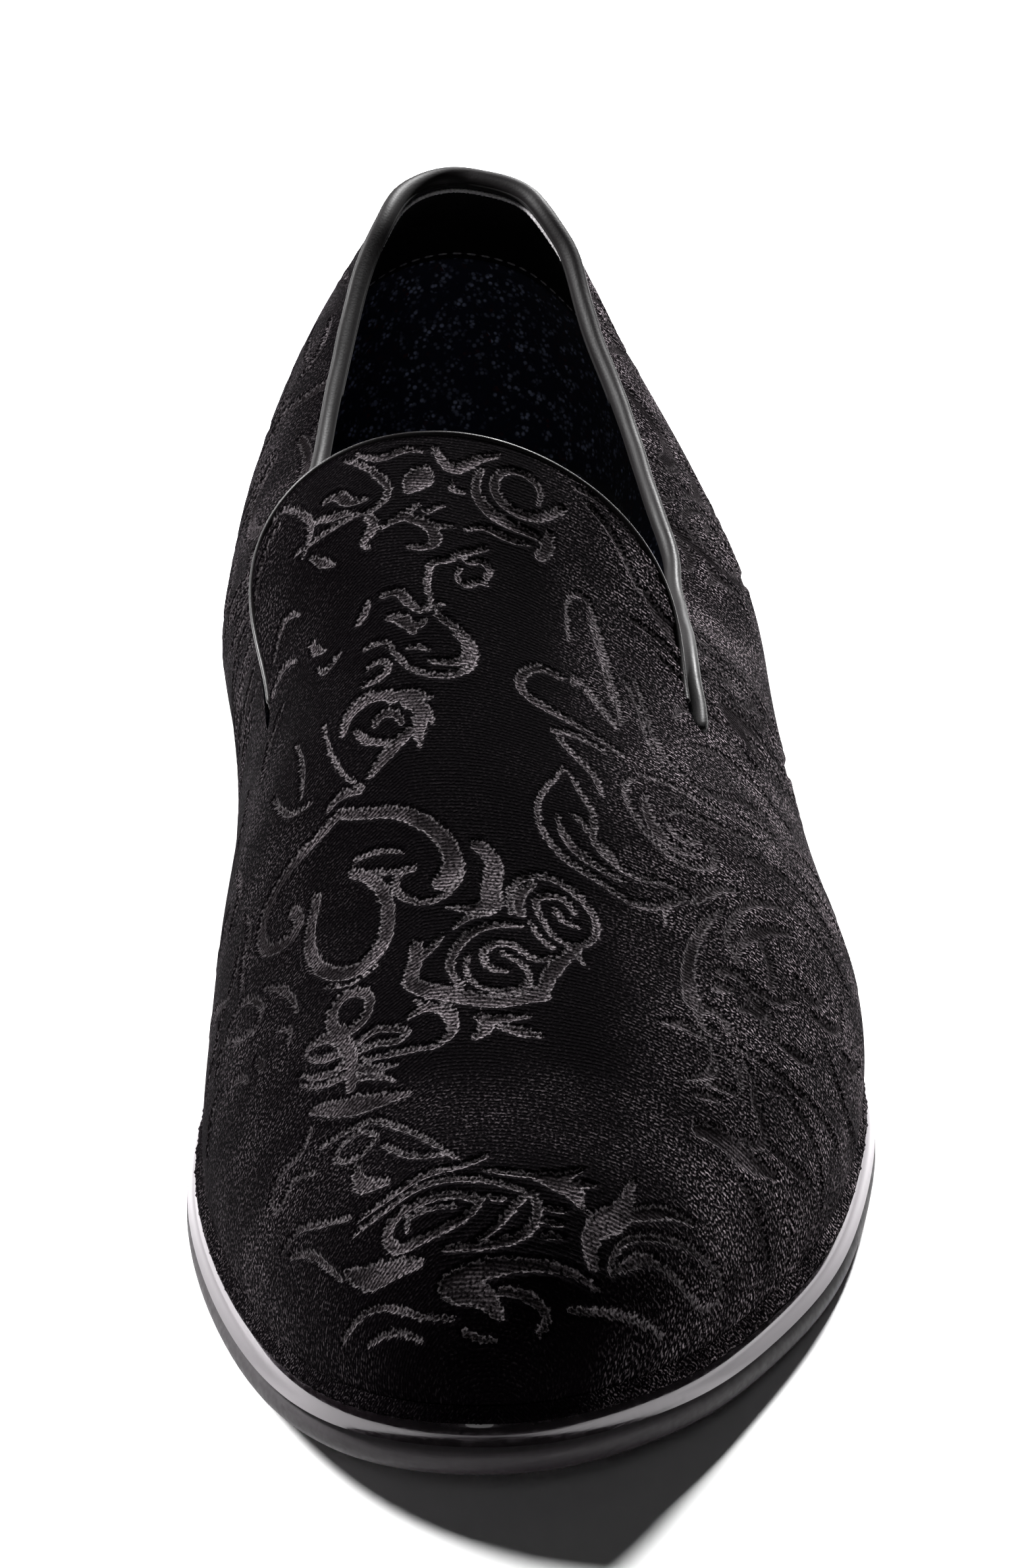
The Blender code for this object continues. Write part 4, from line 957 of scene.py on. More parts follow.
@dataclass(frozen=True)
class EmbossedVelvet:
    """Cotton velvet, gauffered with a hot roller.

    Upright pile swallows light where it is seen end on and glows at grazing angles. The roller lays
    the pile down inside the scrolls, so they look lighter, with a painted highlight along their
    outlines where the pile leans. Far down the flanks the laid pile gets painted shade, and the
    glints of the rows are painted brightest on the lateral flank and where the toe bends.
    The woven rows show as lines of tiny glints. Real rows stand about 0.35 mm apart. They are drawn
    twice as coarse, so that they show at the photo's distance.
    """

    pile: str = "#020102"
    pressed: str = "#080607"
    laid: str = "#7c7478"
    rim_highlight: str = "#8b8588"
    painted_glint: str = "#cfc1c8"
    sheen: str = "#efe2e9"
    sheen_weight: float = 0.012
    row_pitch: float = 0.70 * MM
    row_slope: float = 0.10
    medial_slope: float = 0.75
    bend_up: float = 50.0 * MM

    def build(self) -> bpy.types.Material:
        """Return the velvet's material."""
        material, add = new_material(
            "gauffered_cotton_velvet", Roughness=1.0, Specular_IOR_Level=0.012,
            Sheen_Weight=self.sheen_weight, Sheen_Roughness=0.16, Sheen_Tint=hex_colour(self.sheen))
        cloth = add("UVMap", uv_map="cloth")
        across, along = (add("SeparateXYZ", cloth, pick=axis) for axis in "XY")
        edge = add("Attribute", attribute_name="edge", pick="Fac")
        # Hairs, tufts, the rows' waver and soft clouds, in cycles to the metre
        hairs, tuft, waver, cloud = (
            add("TexNoise", inputs={"Vector": cloth, "Scale": scale, "Detail": detail})
            for scale, detail in ((1300.0, 2.0), (2150.0, 1.5), (45.0, 1.0), (95.0, 3.0)))
        # Hairs of the laid pile fray the strokes' outlines
        frayed = add("Math", hairs, 1.6, edge, operation="MULTIPLY_ADD")
        laid = add("MapRange", frayed, 1.00, 0.66, **EASED)
        # The strokes' outlines, where a painted highlight goes
        from_rim = add("Math", frayed, 0.68, operation="SUBTRACT")
        from_rim = add("Math", from_rim, operation="ABSOLUTE")
        rim_highlight = add("MapRange", from_rim, 0.26, 0.03, **EASED)
        # Woven pile rows run across the foot with a slight slope and waver a little
        sloped = add("Math", across, self.row_slope, along, operation="MULTIPLY_ADD")
        # On the medial flank the cut of the cloth turns them steeply up towards the ridge
        beyond = add("Math", across, -1.0, -8.0 * MM, operation="MULTIPLY_ADD")
        beyond = add("Math", beyond, 0.0, operation="MAXIMUM")
        fanned = add("Math", beyond, self.medial_slope, sloped, operation="MULTIPLY_ADD")
        wavy = add("Math", waver, 2.4 * MM, fanned, operation="MULTIPLY_ADD")
        turns = add("Math", wavy, FULL_TURN / self.row_pitch, operation="MULTIPLY")
        row = add("MapRange", add("Math", turns, operation="SINE"), -0.55, 0.75, **EASED)
        ribbed = add("Math", row, 0.7, 0.3, operation="MULTIPLY_ADD")
        # Tufts along a row: fine grains that stand for glints of light, painted into the colour
        grain = add("MapRange", tuft, 0.48, 0.72, **EASED)
        dots = add("Math", grain, ribbed, operation="MULTIPLY")
        patches = add("MapRange", cloud, 0.38, 0.66, 0.35, 1.0, **EASED)
        # Painted sheen: the glints are painted brighter on the flanks, far more on the lateral
        # side, and in a band where the toe bends, where the lights graze the pile
        lateral = add("MapRange", across, 14.0 * MM, 46.0 * MM, 0.015, 0.66, **EASED)
        medial = add("MapRange", across, -12.0 * MM, -44.0 * MM, 0.0, 0.12, **EASED)
        flanks = add("Math", lateral, medial, operation="ADD")
        from_bend = add("Math", along, self.bend_up, operation="SUBTRACT")
        from_bend = add("Math", from_bend, operation="ABSOLUTE")
        bend_sheen = add("MapRange", from_bend, 12.0 * MM, 3.0 * MM, 0.0, 0.10, **EASED)
        painted_sheen = add("Math", bend_sheen, flanks, operation="ADD")
        painted_sheen = add("Math", painted_sheen, patches, operation="MULTIPLY")
        painted_sheen = add("Math", painted_sheen, dots, operation="MULTIPLY")
        # The ground is the near-black pile with the painted glints mixed in
        ground = add("Mix", painted_sheen, inputs={COLOUR_A: hex_colour(self.pile),
                                           COLOUR_B: hex_colour(self.painted_glint)}, **COLOURS)
        # Laid pile shows its weave; far down the flanks it is painted darker, a painted shade for
        # pile that lies away from the light
        reach = add("Math", across, 7.0 * MM, operation="SUBTRACT")
        reach = add("Math", reach, operation="ABSOLUTE")
        near = add("MapRange", reach, 24.0 * MM, 44.0 * MM, 1.0, 0.34, **EASED)
        weave = add("MapRange", tuft, 0.32, 0.68, **EASED)
        weave = add("Math", weave, near, operation="MULTIPLY")
        woven = add("Math", weave, ribbed, operation="MULTIPLY")
        clouded = add("Math", patches, 1.15, -0.30, operation="MULTIPLY_ADD")
        bright = add("Math", woven, clouded, operation="MULTIPLY")
        lying = add("Mix", bright, inputs={COLOUR_A: hex_colour(self.pressed),
                                           COLOUR_B: hex_colour(self.laid)}, **COLOURS)
        body = add("Mix", laid, inputs={COLOUR_A: ground, COLOUR_B: lying}, **COLOURS)
        # Painted highlight: a lighter colour is mixed in along the strokes' outlines, where the
        # leaning pile would catch the light
        lean = add("Math", rim_highlight, weave, operation="MULTIPLY")
        lean = add("Math", lean, 0.42, operation="MULTIPLY")
        colour = add("Mix", lean, inputs={COLOUR_A: body, COLOUR_B: hex_colour(self.rim_highlight)},
                     **COLOURS)
        tufts = add("Math", row, 0.3, tuft, operation="MULTIPLY_ADD")
        bump = add("Bump", inputs={"Strength": 0.75, "Distance": 0.3 * MM, "Height": tufts})
        return link_shader(material, Base_Color=colour, Normal=bump)


@dataclass(frozen=True)
class Leather:
    """Calf leather, dyed black and finished.

    Satin leather shows soft silvery streaks along a roll, glazed leather a tight highlight, and
    sueded leather almost none.
    """

    name: str
    feel: Feel = Feel.SATIN
    colour: str = "#141112"
    deep: str = "#0b090a"
    grain: float = 0.45 * MM

    def build(self) -> bpy.types.Material:
        """Return the leather's material."""
        rough = {Feel.SATIN: 0.50, Feel.GLAZED: 0.36, Feel.SUEDED: 0.7}[self.feel]
        material, add = new_material(self.name, Specular_IOR_Level=0.10, Sheen_Weight=0.04,
                                     Sheen_Roughness=0.4)
        cloth = add("UVMap", uv_map="cloth")
        pores = add("TexVoronoi", inputs={"Vector": cloth, "Scale": 1.0 / self.grain})
        streak = add("Mapping", inputs={"Vector": cloth, "Scale": (60.0, 900.0, 1.0)})
        lines = add("TexNoise", inputs={"Vector": streak, "Scale": 1.0, "Detail": 4.0,
                                        "Roughness": 0.6})
        worn = add("MapRange", lines, 0.3, 0.75, rough - 0.06, rough + 0.12)
        tone = add("Mix", lines, inputs={COLOUR_A: hex_colour(self.deep),
                                         COLOUR_B: hex_colour(self.colour)}, **COLOURS)
        height = add("Math", pores, 0.35, lines, operation="MULTIPLY_ADD")
        bump = add("Bump", inputs={"Strength": 0.35, "Distance": 0.12 * MM, "Height": height})
        return link_shader(material, Base_Color=tone, Roughness=worn, Normal=bump)


@dataclass(frozen=True)
class PrintedCotton:
    """Cotton lining, navy, printed with small scattered flowers in two blues and a dark red."""

    ground: str = "#20243a"
    light: str = "#c9d2ee"
    red: str = "#5c2c34"
    flower_pitch: float = 2.2 * MM
    petal_pitch: float = 1.0 * MM
    red_above: float = 0.82

    def build(self) -> bpy.types.Material:
        """Return the lining's material."""
        material, add = new_material("printed_cotton_lining", Roughness=0.85, Sheen_Weight=0.15,
                                     Specular_IOR_Level=0.3, Sheen_Roughness=0.5)
        place = add("TexCoord", pick="Object")
        bloom, petals = (add("TexVoronoi", inputs={"Vector": place, "Scale": 1.0 / pitch})
                         for pitch in (self.flower_pitch, self.petal_pitch))
        near = add("MapRange", bloom, 0.66, 0.34)
        spot = add("MapRange", petals, 0.52, 0.26)
        flower = add("Math", near, spot, operation="MULTIPLY")
        chance, strength = (add("SeparateColor", bloom.node.outputs["Color"], pick=part)
                            for part in (0, 1))
        rare = add("Math", chance, self.red_above, operation="GREATER_THAN")
        tint = add("Mix", rare, inputs={COLOUR_A: hex_colour(self.light),
                                        COLOUR_B: hex_colour(self.red)}, **COLOURS)
        dim = add("MapRange", strength, 0.0, 1.0, 0.25, 1.0)
        amount = add("Math", flower, dim, operation="MULTIPLY")
        colour = add("Mix", amount, inputs={COLOUR_A: hex_colour(self.ground), COLOUR_B: tint},
                     **COLOURS)
        weave = add("TexNoise", inputs={"Vector": place, "Scale": 1800.0, "Detail": 2.0})
        bump = add("Bump", inputs={"Strength": 0.3, "Distance": 0.1 * MM, "Height": weave})
        return link_shader(material, Base_Color=colour, Normal=bump)


@dataclass(frozen=True)
class SoleEdge:
    """A sole layer's edge: trimmed, inked and burnished with wax, or left matt."""

    name: str
    colour: str
    tone: str
    rough: float
    coat: float
    layer: float = 0.0
    specular: float = 0.5
    wax: str = "#f2e8f0"
    joint: str = "#050404"
    ink: str = "#040304"

    def build(self) -> bpy.types.Material:
        """Return the edge's material."""
        material, add = new_material(
            self.name, Coat_Weight=self.coat, Coat_Roughness=0.04, Coat_Tint=hex_colour(self.wax),
            Specular_IOR_Level=self.specular)
        place = add("TexCoord", pick="Object")
        fibre = add("Mapping", inputs={"Vector": place, "Scale": (120.0, 120.0, 1500.0)})
        strands = add("TexNoise", inputs={"Vector": fibre, "Scale": 1.0, "Detail": 4.0,
                                          "Roughness": 0.65})
        specks = add("TexNoise", inputs={"Vector": place, "Scale": 900.0, "Detail": 3.0})
        colour = add("Mix", strands, inputs={COLOUR_A: hex_colour(self.colour),
                                             COLOUR_B: hex_colour(self.tone)}, **COLOURS)
        if self.layer > 0.0:
            level = add("SeparateXYZ", place, pick="Z")
            turns = add("Math", level, FULL_TURN / self.layer, operation="MULTIPLY")
            line = add("MapRange", add("Math", turns, operation="SINE"), 0.9, 1.0, 0.0, 0.7)
            colour = add("Mix", line, inputs={COLOUR_A: colour, COLOUR_B: hex_colour(self.joint)},
                         **COLOURS)
        # The ledge on top is inked but not polished
        upward = add("SeparateXYZ", add("NewGeometry", pick="Normal"), pick="Z")
        ledge = add("MapRange", upward, 0.55, 0.9)
        inked = add("Mix", ledge, inputs={COLOUR_A: colour, COLOUR_B: hex_colour(self.ink)},
                    **COLOURS)
        rough = add("MapRange", specks, 0.3, 0.7, self.rough - 0.08, self.rough + 0.1)
        matt = add("Math", ledge, 0.6, rough, operation="MULTIPLY_ADD")
        bump = add("Bump", inputs={"Strength": 0.12, "Distance": 0.15 * MM, "Height": strands})
        return link_shader(material, Base_Color=inked, Roughness=matt, Normal=bump)


@dataclass(frozen=True)
class RawEdge:
    """The lining's cut edge: bonded backing fibres, light grey and frayed."""

    colour: str = "#d9d5d7"
    shade: str = "#1b191b"

    def build(self) -> bpy.types.Material:
        """Return the cut edge's material."""
        material, add = new_material("cut_lining_edge", Roughness=0.9)
        place = add("TexCoord", pick="Object")
        fibres = add("TexNoise", inputs={"Vector": place, "Scale": 2200.0, "Detail": 3.0})
        tone = add("Mix", fibres, inputs={COLOUR_A: hex_colour(self.shade),
                                          COLOUR_B: hex_colour(self.colour)}, **COLOURS)
        bump = add("Bump", inputs={"Strength": 0.8, "Distance": 0.2 * MM, "Height": fibres})
        return link_shader(material, Base_Color=tone, Normal=bump)


@dataclass(frozen=True)
class Paper:
    """Seamless white background paper, matt with a faint tooth."""

    colour: str = "#ffffff"

    def build(self) -> bpy.types.Material:
        """Return the paper's material."""
        material, add = new_material("seamless_paper", Roughness=0.9,
                                     Base_Color=hex_colour(self.colour))
        place = add("TexCoord", pick="Object")
        tooth = add("TexNoise", inputs={"Vector": place, "Scale": 700.0, "Detail": 2.0})
        bump = add("Bump", inputs={"Strength": 0.05, "Distance": 0.1 * MM, "Height": tooth})
        return link_shader(material, Normal=bump)


# Sub-assemblies

@dataclass(frozen=True)
class VelvetUpper:
    """The upper's velvet: vamp with tongue and quarters, with the scrolls pressed in."""

    last: Last
    cloth: Cloth
    chart: ScrollChart
    vamp_rows: int = 300
    tongue_rows: int = 78
    quarter_rows: int = 620
    side_columns: int = 90
    notch_columns: int = 10
    tongue_half_columns: int = 90
    press_depth: float = 0.42 * MM
    press_shoulder: float = 0.42
    swell: float = 0.25
    swell_place: float = 0.75
    swell_width: float = 0.4
    foot_reach: float = 1.35 * MM
    toe_spread: float = 0.62
    notch_dip: float = 0.018
    dip_fade: float = 12.0

    def notch_climbs(self, turn: float) -> np.ndarray:
        """Return the climbs of quarter, gap and tongue at the notch, from the sole to the ridge."""
        low = float(self.last.top_climb(np.array([turn]))[0])
        base = self.last.top_climb(np.array([turn]), pulled=False)
        rate = self.last.climb_per_metre(np.array([turn]), base)
        high = float(base[0] + self.last.notch_width * rate[0])
        return np.concatenate([
            np.linspace(0.0, low, self.side_columns + 1),
            np.linspace(low, high, self.notch_columns + 1)[1:],
            np.linspace(high, 1.0, self.tongue_half_columns + 1)[1:],
        ])

    def vamp_patch(self) -> tuple:
        """Return the turns and climbs of the vamp, a half disc with the sole's edge straight."""
        notch = self.last.notch_turn()
        reach = math.pi - notch
        lateral = 0.5 * math.pi * self.notch_climbs(FULL_TURN - notch)
        medial = math.pi - 0.5 * math.pi * self.notch_climbs(notch)
        angles = np.concatenate([lateral, medial[-2::-1]])
        share = np.linspace(0.0, 1.0, self.vamp_rows + 1)[:, None]
        across = ((1.0 - share) * reach + share * self.toe_spread * reach) * np.cos(angles)
        upward = (1.0 - share) * reach * np.sin(angles)
        radius = np.maximum(np.hypot(across, upward), 1e-6)
        angle = np.arctan2(upward, across)
        on_medial = angle > 0.5 * math.pi
        turns = np.where(on_medial, math.pi - radius, math.pi + radius)
        climbs = np.where(on_medial, math.pi - angle, angle) / (0.5 * math.pi)
        # The notch ends in a small round dip into the vamp, which fades over the first rows
        dip = np.sin(np.linspace(0.0, math.pi, self.notch_columns + 1)) ** 0.7 * self.notch_dip
        first = self.side_columns
        other = len(angles) - 1 - self.side_columns - self.notch_columns
        fade = np.clip(1.0 - share[:, 0] * self.dip_fade, 0.0, 1.0)[:, None]
        for start in (first, other):
            columns = slice(start, start + self.notch_columns + 1)
            turns[:, columns] += (math.pi - turns[:, columns]) * dip * fade
        return turns, climbs

    def tongue_patch(self, vamp_turns: np.ndarray, vamp_climbs: np.ndarray) -> tuple:
        """Return the turns and climbs of the tongue, from the notch to its round tip."""
        first = self.side_columns + self.notch_columns
        columns = slice(first, first + 2 * self.tongue_half_columns + 1)
        turns = vamp_turns[0, columns]
        climbs = vamp_climbs[0, columns]
        last = self.last
        across = np.abs(np.linspace(-1.0, 1.0, len(turns)))
        side = np.where(turns > math.pi, 1.0, -1.0)
        square = np.where(side > 0.0, last.lateral_square, last.medial_square)
        share = np.linspace(0.0, 1.0, self.tongue_rows + 1)[:, None]
        tip = 0.5 * math.pi - across * (0.5 * math.pi - last.tongue_corner)
        flank = share * last.tongue_corner
        tip_wide, tip_high = np.abs(np.cos(tip)) ** square, np.sin(tip) ** square
        corner_wide = math.cos(last.tongue_corner) ** square
        corner_high = math.sin(last.tongue_corner) ** square
        wide = share * (tip_wide - across * corner_wide) + across * np.cos(flank) ** square
        high = share * tip_high + across * (np.sin(flank) ** square - share * corner_high)
        root = np.where(side > 0.0, climbs[0], climbs[-1])
        reach = last.tongue_length / (0.5 * last.length)
        return turns + side * high * reach, 1.0 - wide * (1.0 - root)

    def quarter_patch(self) -> tuple:
        """Return the turns and climbs of the quarters, from the medial notch round the heel."""
        notch = self.last.notch_turn()
        y = np.linspace(0.0, 1.0, self.quarter_rows + 1)
        turns = notch * (1.0 - 2.0 * y)
        climbs = self.last.top_climb(turns)[:, None] * np.linspace(0.0, 1.0, self.side_columns + 1)
        return np.repeat(turns[:, None], self.side_columns + 1, axis=1), climbs

    def relief(self, edge: np.ndarray) -> np.ndarray:
        """Return the surface's height over the last in metres, at mm from a stroke's edge."""
        sunk = smooth_step(self.press_shoulder, -self.press_shoulder, edge)
        swell = np.exp(-((edge - self.swell_place) / self.swell_width) ** 2)
        return self.press_depth * (self.swell * swell - sunk)

    def lay(self, name: str, turns: np.ndarray, climbs: np.ndarray,
            quarters: bool) -> bpy.types.Object:
        """Return one patch of velvet with its cloth coordinates and pressed strokes."""
        u, v = self.cloth.flat(turns, climbs, quarters)
        edge = self.chart.distance(u, v)
        normal = self.last.normal(turns, climbs, quarters)
        points = self.last.point(turns, climbs, quarters) + normal * self.relief(edge)[..., None]
        uv = np.stack([u, v], axis=-1) * MM
        return lay_grid(name, points, outward=normal, floats={"edge": edge}, uv=uv)

    def build(self, velvet: bpy.types.Material) -> None:
        """Make and dress the four pieces of velvet."""
        turns, climbs = self.vamp_patch()
        middle = turns.shape[1] // 2
        parts = (
            ("vamp_lateral", turns[:, :middle + 1], climbs[:, :middle + 1], False),
            ("vamp_medial", turns[:, middle:], climbs[:, middle:], False),
            ("tongue", *self.tongue_patch(turns, climbs), False),
            ("quarters", *self.quarter_patch(), True),
        )
        for name, part_turns, part_climbs, quarters in parts:
            piece = self.lay(name, part_turns, part_climbs, quarters)
            ride_as(piece, velvet, "velvet", "upper")
        self.build_foot(velvet)

    def build_foot(self, velvet: bpy.types.Material) -> None:
        """Make the ragged pile that stands out over the welt all round the upper's foot."""
        turn = np.linspace(0.0, FULL_TURN, 1501)
        foot = self.last.point(turn, np.zeros_like(turn))
        out = self.last.outward(turn)
        rise = np.array([0.0, 0.0, 1.0])
        hairs = np.sin(turn * 311.0) * np.sin(turn * 173.0 + 1.0) + 0.5 * np.sin(turn * 737.0)
        hairs[-1] = hairs[0]
        reach = (self.foot_reach * (1.0 + 0.13 * hairs))[:, None]
        # How far out, as a share of the reach, and how far up in mm
        shape = ((0.45, 1.3), (0.85, 0.7), (1.0, 0.2), (0.9, -0.1))
        rows = [foot + 0.10 * MM * out + 2.2 * MM * rise]
        rows += [foot + share * reach * out + height * MM * rise for share, height in shape]
        points = np.stack(rows, axis=1)
        u, v = self.cloth.flat(turn[:, None], np.zeros((len(turn), 1)), False)
        down = np.linalg.norm(np.diff(points, axis=1), axis=-1)
        down = np.concatenate([np.zeros((len(turn), 1)), np.cumsum(down, axis=1)], axis=1)
        uv = np.stack([u * MM + down * out[:, :1], v * MM + down * out[:, 1:2]], axis=-1)
        piece = lay_grid("velvet_foot", points, outward=np.repeat(out[:, None], len(rows), 1),
                         floats={"edge": np.full(down.shape, 9.0)}, uv=uv)
        ride_as(piece, velvet, "velvet")


@dataclass(frozen=True)
class Lining:
    """The lining inside the upper, its heel patch and its cut edge."""

    last: Last
    upper: VelvetUpper
    depth: float = 1.0 * MM
    thickness: float = 0.7 * MM
    patch_turn: float = 0.95
    patch_drop: float = 24.0 * MM
    patch_rows: int = 25
    stitch: float = 2.6 * MM
    seam_margin: float = 1.2 * MM
    edge_drop: float = 2.8 * MM
    edge_margin: float = 0.03
    edge_stations: int = 420

    def line_inside(self, turns: np.ndarray, climbs: np.ndarray, depth: float) -> tuple:
        """Return the points of a line inside the last, their steps and two cross directions."""
        normal = self.last.normal(turns, climbs, True)
        path = self.last.point(turns, climbs, True) - normal * depth
        run = np.gradient(path, axis=0)
        return path, run, normal, np.cross(unit(run), normal)

    def sheet(self, name: str, turns: np.ndarray, climbs: np.ndarray, quarters: bool,
              depth: float, thickness: float) -> bpy.types.Object:
        """Return a thin sheet inside the last, from its depth inward by its thickness."""
        normal = self.last.normal(turns, climbs, quarters)
        points = self.last.point(turns, climbs, quarters) - depth * normal
        uv = np.stack([turns * 0.1, climbs * 0.08], axis=-1)
        piece = lay_grid(name, points, outward=normal, uv=uv)
        wall = piece.modifiers.new("Wall", "SOLIDIFY")
        wall.thickness = thickness
        wall.offset = -1.0
        return piece

    def build(self, cotton: bpy.types.Material, leather: bpy.types.Material,
              cut: bpy.types.Material) -> None:
        """Make and dress the lining's pieces."""
        vamp = self.upper.vamp_patch()
        # The lining has no relief, so a coarser grid with the same borders serves
        parts = (("vamp_lining", vamp, 5, False),
                 ("tongue_lining", self.upper.tongue_patch(*vamp), 3, False),
                 ("quarter_lining", self.upper.quarter_patch(), 4, True))
        for name, (turns, climbs), stride, quarters in parts:
            piece = self.sheet(name, turns[::stride, ::5], climbs[::stride, ::5], quarters,
                               self.depth, self.thickness)
            ride_as(piece, cotton, "lining_print")
        self.build_heel_patch(leather, cut)
        self.build_cut_edge(cut)

    def build_heel_patch(self, leather: bpy.types.Material, thread: bpy.types.Material) -> None:
        """Make the crescent of leather inside the back of the heel, and its seam."""
        turns = np.linspace(self.patch_turn, -self.patch_turn, 121)
        top = self.last.top_climb(turns)
        rate = self.last.climb_per_metre(turns, top)
        # The crescent is deepest at the heel's middle
        drop = self.patch_drop * np.sqrt(np.clip(1.0 - (turns / self.patch_turn) ** 4, 0.02, 1.0))
        share = np.linspace(0.0, 1.0, self.patch_rows)[None, :]
        climbs = top[:, None] - (drop * rate)[:, None] * (1.0 - share)
        grid_turns = np.repeat(turns[:, None], self.patch_rows, axis=1)
        inside = self.depth + self.thickness + 0.05 * MM
        ride_as(self.sheet("heel_patch", grid_turns, climbs, True, inside, 0.6 * MM),
                leather, "binding_leather")
        # The patch's seam: a row of short stitches inside its lower edge
        stitched = np.linspace(-0.97 * self.patch_turn, 0.97 * self.patch_turn, 900)
        low = np.interp(stitched, turns[::-1], climbs[::-1, 0])
        climbs = low + self.seam_margin * self.last.climb_per_metre(stitched, low)
        path, run, normal, up = self.line_inside(stitched, climbs, inside + 0.62 * MM)
        length = np.cumsum(np.linalg.norm(run, axis=1))
        stitch = np.clip(1.6 * np.sin(length / self.stitch * FULL_TURN) + 0.9, 0.02, 1.0)
        stitch[[0, -1]] = 0.0
        ride_as(sweep("patch_stitches", path, normal, up, oval(6, 0.16 * MM, 0.20 * MM), stitch),
                thread, "lining_print")

    def build_cut_edge(self, cut: bpy.types.Material) -> None:
        """Make the lining's cut edge, a thin frayed line inside the roll."""
        notch = self.last.notch_turn() - self.edge_margin
        turns = np.linspace(notch, -notch, self.edge_stations)
        top = self.last.top_climb(turns)
        rate = self.last.climb_per_metre(turns, top)
        path, _, normal, up = self.line_inside(turns, top - self.edge_drop * rate,
                                               self.last.wall + 0.80 * MM)
        station = np.arange(len(turns))
        ragged = 1.0 + 0.25 * np.sin(station * 2.4) * np.sin(station * 0.37)
        ride_as(sweep("cut_edge", path, normal, up, oval(8, 0.36 * MM, 0.46 * MM), ragged), cut,
                "lining_print")


@dataclass(frozen=True)
class CollarRoll:
    """The padded leather roll over the quarters' top line."""

    last: Last
    deep: float = 1.9 * MM
    thick: float = 0.75 * MM
    tuck: float = 1.2 * MM
    lateral_tail: float = 0.040
    stations: int = 440
    notch_gap: float = 0.004
    end_round: float = 3.2 * MM
    end_size: float = 0.12
    taper: float = 0.25
    taper_start: float = 45.0 * MM
    taper_end: float = 8.0 * MM

    def section(self) -> np.ndarray:
        """Return the roll's section: lengths down the wall and out from its outer face."""
        outside = self.last.gap + self.thick
        inside = -self.last.wall - 0.6 * self.thick
        middle, half = 0.5 * (outside + inside), 0.5 * (outside - inside)
        angles = np.radians(np.linspace(-52.0, 232.0, 37))
        tall = (self.deep + 0.9 * self.thick) / 2.0
        down = self.deep - tall - tall * np.sin(angles)
        outer = np.stack([down, middle + half * np.cos(angles)], axis=1)
        hidden = [(0.2 * MM, middle - 0.5 * half), (0.2 * MM, middle + 0.5 * half)]
        return np.concatenate([outer, hidden])

    def build(self, leather: bpy.types.Material) -> None:
        """Make and dress the roll."""
        notch = self.last.notch_turn() - self.notch_gap
        turns = np.linspace(notch, -notch - self.lateral_tail, self.stations)
        edge = self.last.top_climb(turns)
        rate = self.last.climb_per_metre(turns, edge)
        step = 1e-3
        above, below = (self.last.point(turns, edge + by, True) for by in (step, -step))
        upward = unit(above - below)
        run = arc_lengths(self.last.point(turns, edge, True))
        from_end = np.minimum(run, run[-1] - run)
        from_round = 1.0 - np.clip(from_end / self.end_round, 0.0, 1.0)
        round_end = np.sqrt(np.clip(1.0 - from_round ** 2, 0.0, 1.0))
        near_notch = smooth_step(self.taper_start, self.taper_end, from_end) * (turns > 0.0)
        ends = self.end_size + (1.0 - self.end_size) * round_end
        scale = (1.0 - self.taper * near_notch) * ends
        tucked = (self.tuck * near_notch)[:, None]
        # The leather puckers a little over its padding
        pucker = 1.0 + 0.03 * np.sin(run / (2.1 * MM)) * np.sin(run / (13.7 * MM))
        rings = []
        section = self.section()
        for down, out in np.concatenate([section, section[:1]]):
            drop = max(down, 0.0) * scale
            on_wall = self.last.point(turns, edge - drop * rate, True)
            side = self.last.normal(turns, edge - drop * rate, True)
            middle = -0.5 * self.last.wall
            lift = (middle + (out - middle) * scale * pucker)[:, None]
            above = (max(-down, 0.0) * scale)[:, None] * upward
            rings.append(on_wall + above + (lift - tucked) * side)
        points = np.stack(rings, axis=1)
        centre = points.mean(axis=1, keepdims=True)
        points[0], points[-1] = centre[0], centre[-1]
        girth = arc_lengths(section)
        girth = np.append(girth, girth[-1])
        piece = lay_grid("collar_roll", points, uv=roll_uv(run, girth), weld=True)
        ride_as(piece, leather, "binding_leather", "collar_binding")


@dataclass(frozen=True)
class TongueEdge:
    """The thin turned leather edge round the tongue."""

    last: Last
    upper: VelvetUpper
    radius: float = 0.62 * MM

    def path(self) -> tuple:
        """Return the turns and climbs along the tongue's edge, from notch to notch."""
        turns, climbs = self.upper.tongue_patch(*self.upper.vamp_patch())
        edge_turns = np.concatenate([turns[:-1, 0], turns[-1, :], turns[-2::-1, -1]])
        edge_climbs = np.concatenate([climbs[:-1, 0], climbs[-1, :], climbs[-2::-1, -1]])
        return edge_turns, edge_climbs

    def build(self, leather: bpy.types.Material) -> None:
        """Make and dress the edge."""
        turns, climbs = self.path()
        path = self.last.point(turns, climbs)
        normal = self.last.normal(turns, climbs)
        beyond = unit(np.cross(unit(np.gradient(path, axis=0)), normal))
        centre = path + beyond * 0.35 * MM - normal * 0.55 * MM
        scale = np.ones(len(path))
        scale[[0, -1]] = 0.0
        section = oval(12, self.radius, 1.5 * self.radius)
        ride_as(sweep("tongue_edge", centre, beyond, normal, section, scale), leather,
                "piping_leather", "vamp_piping")


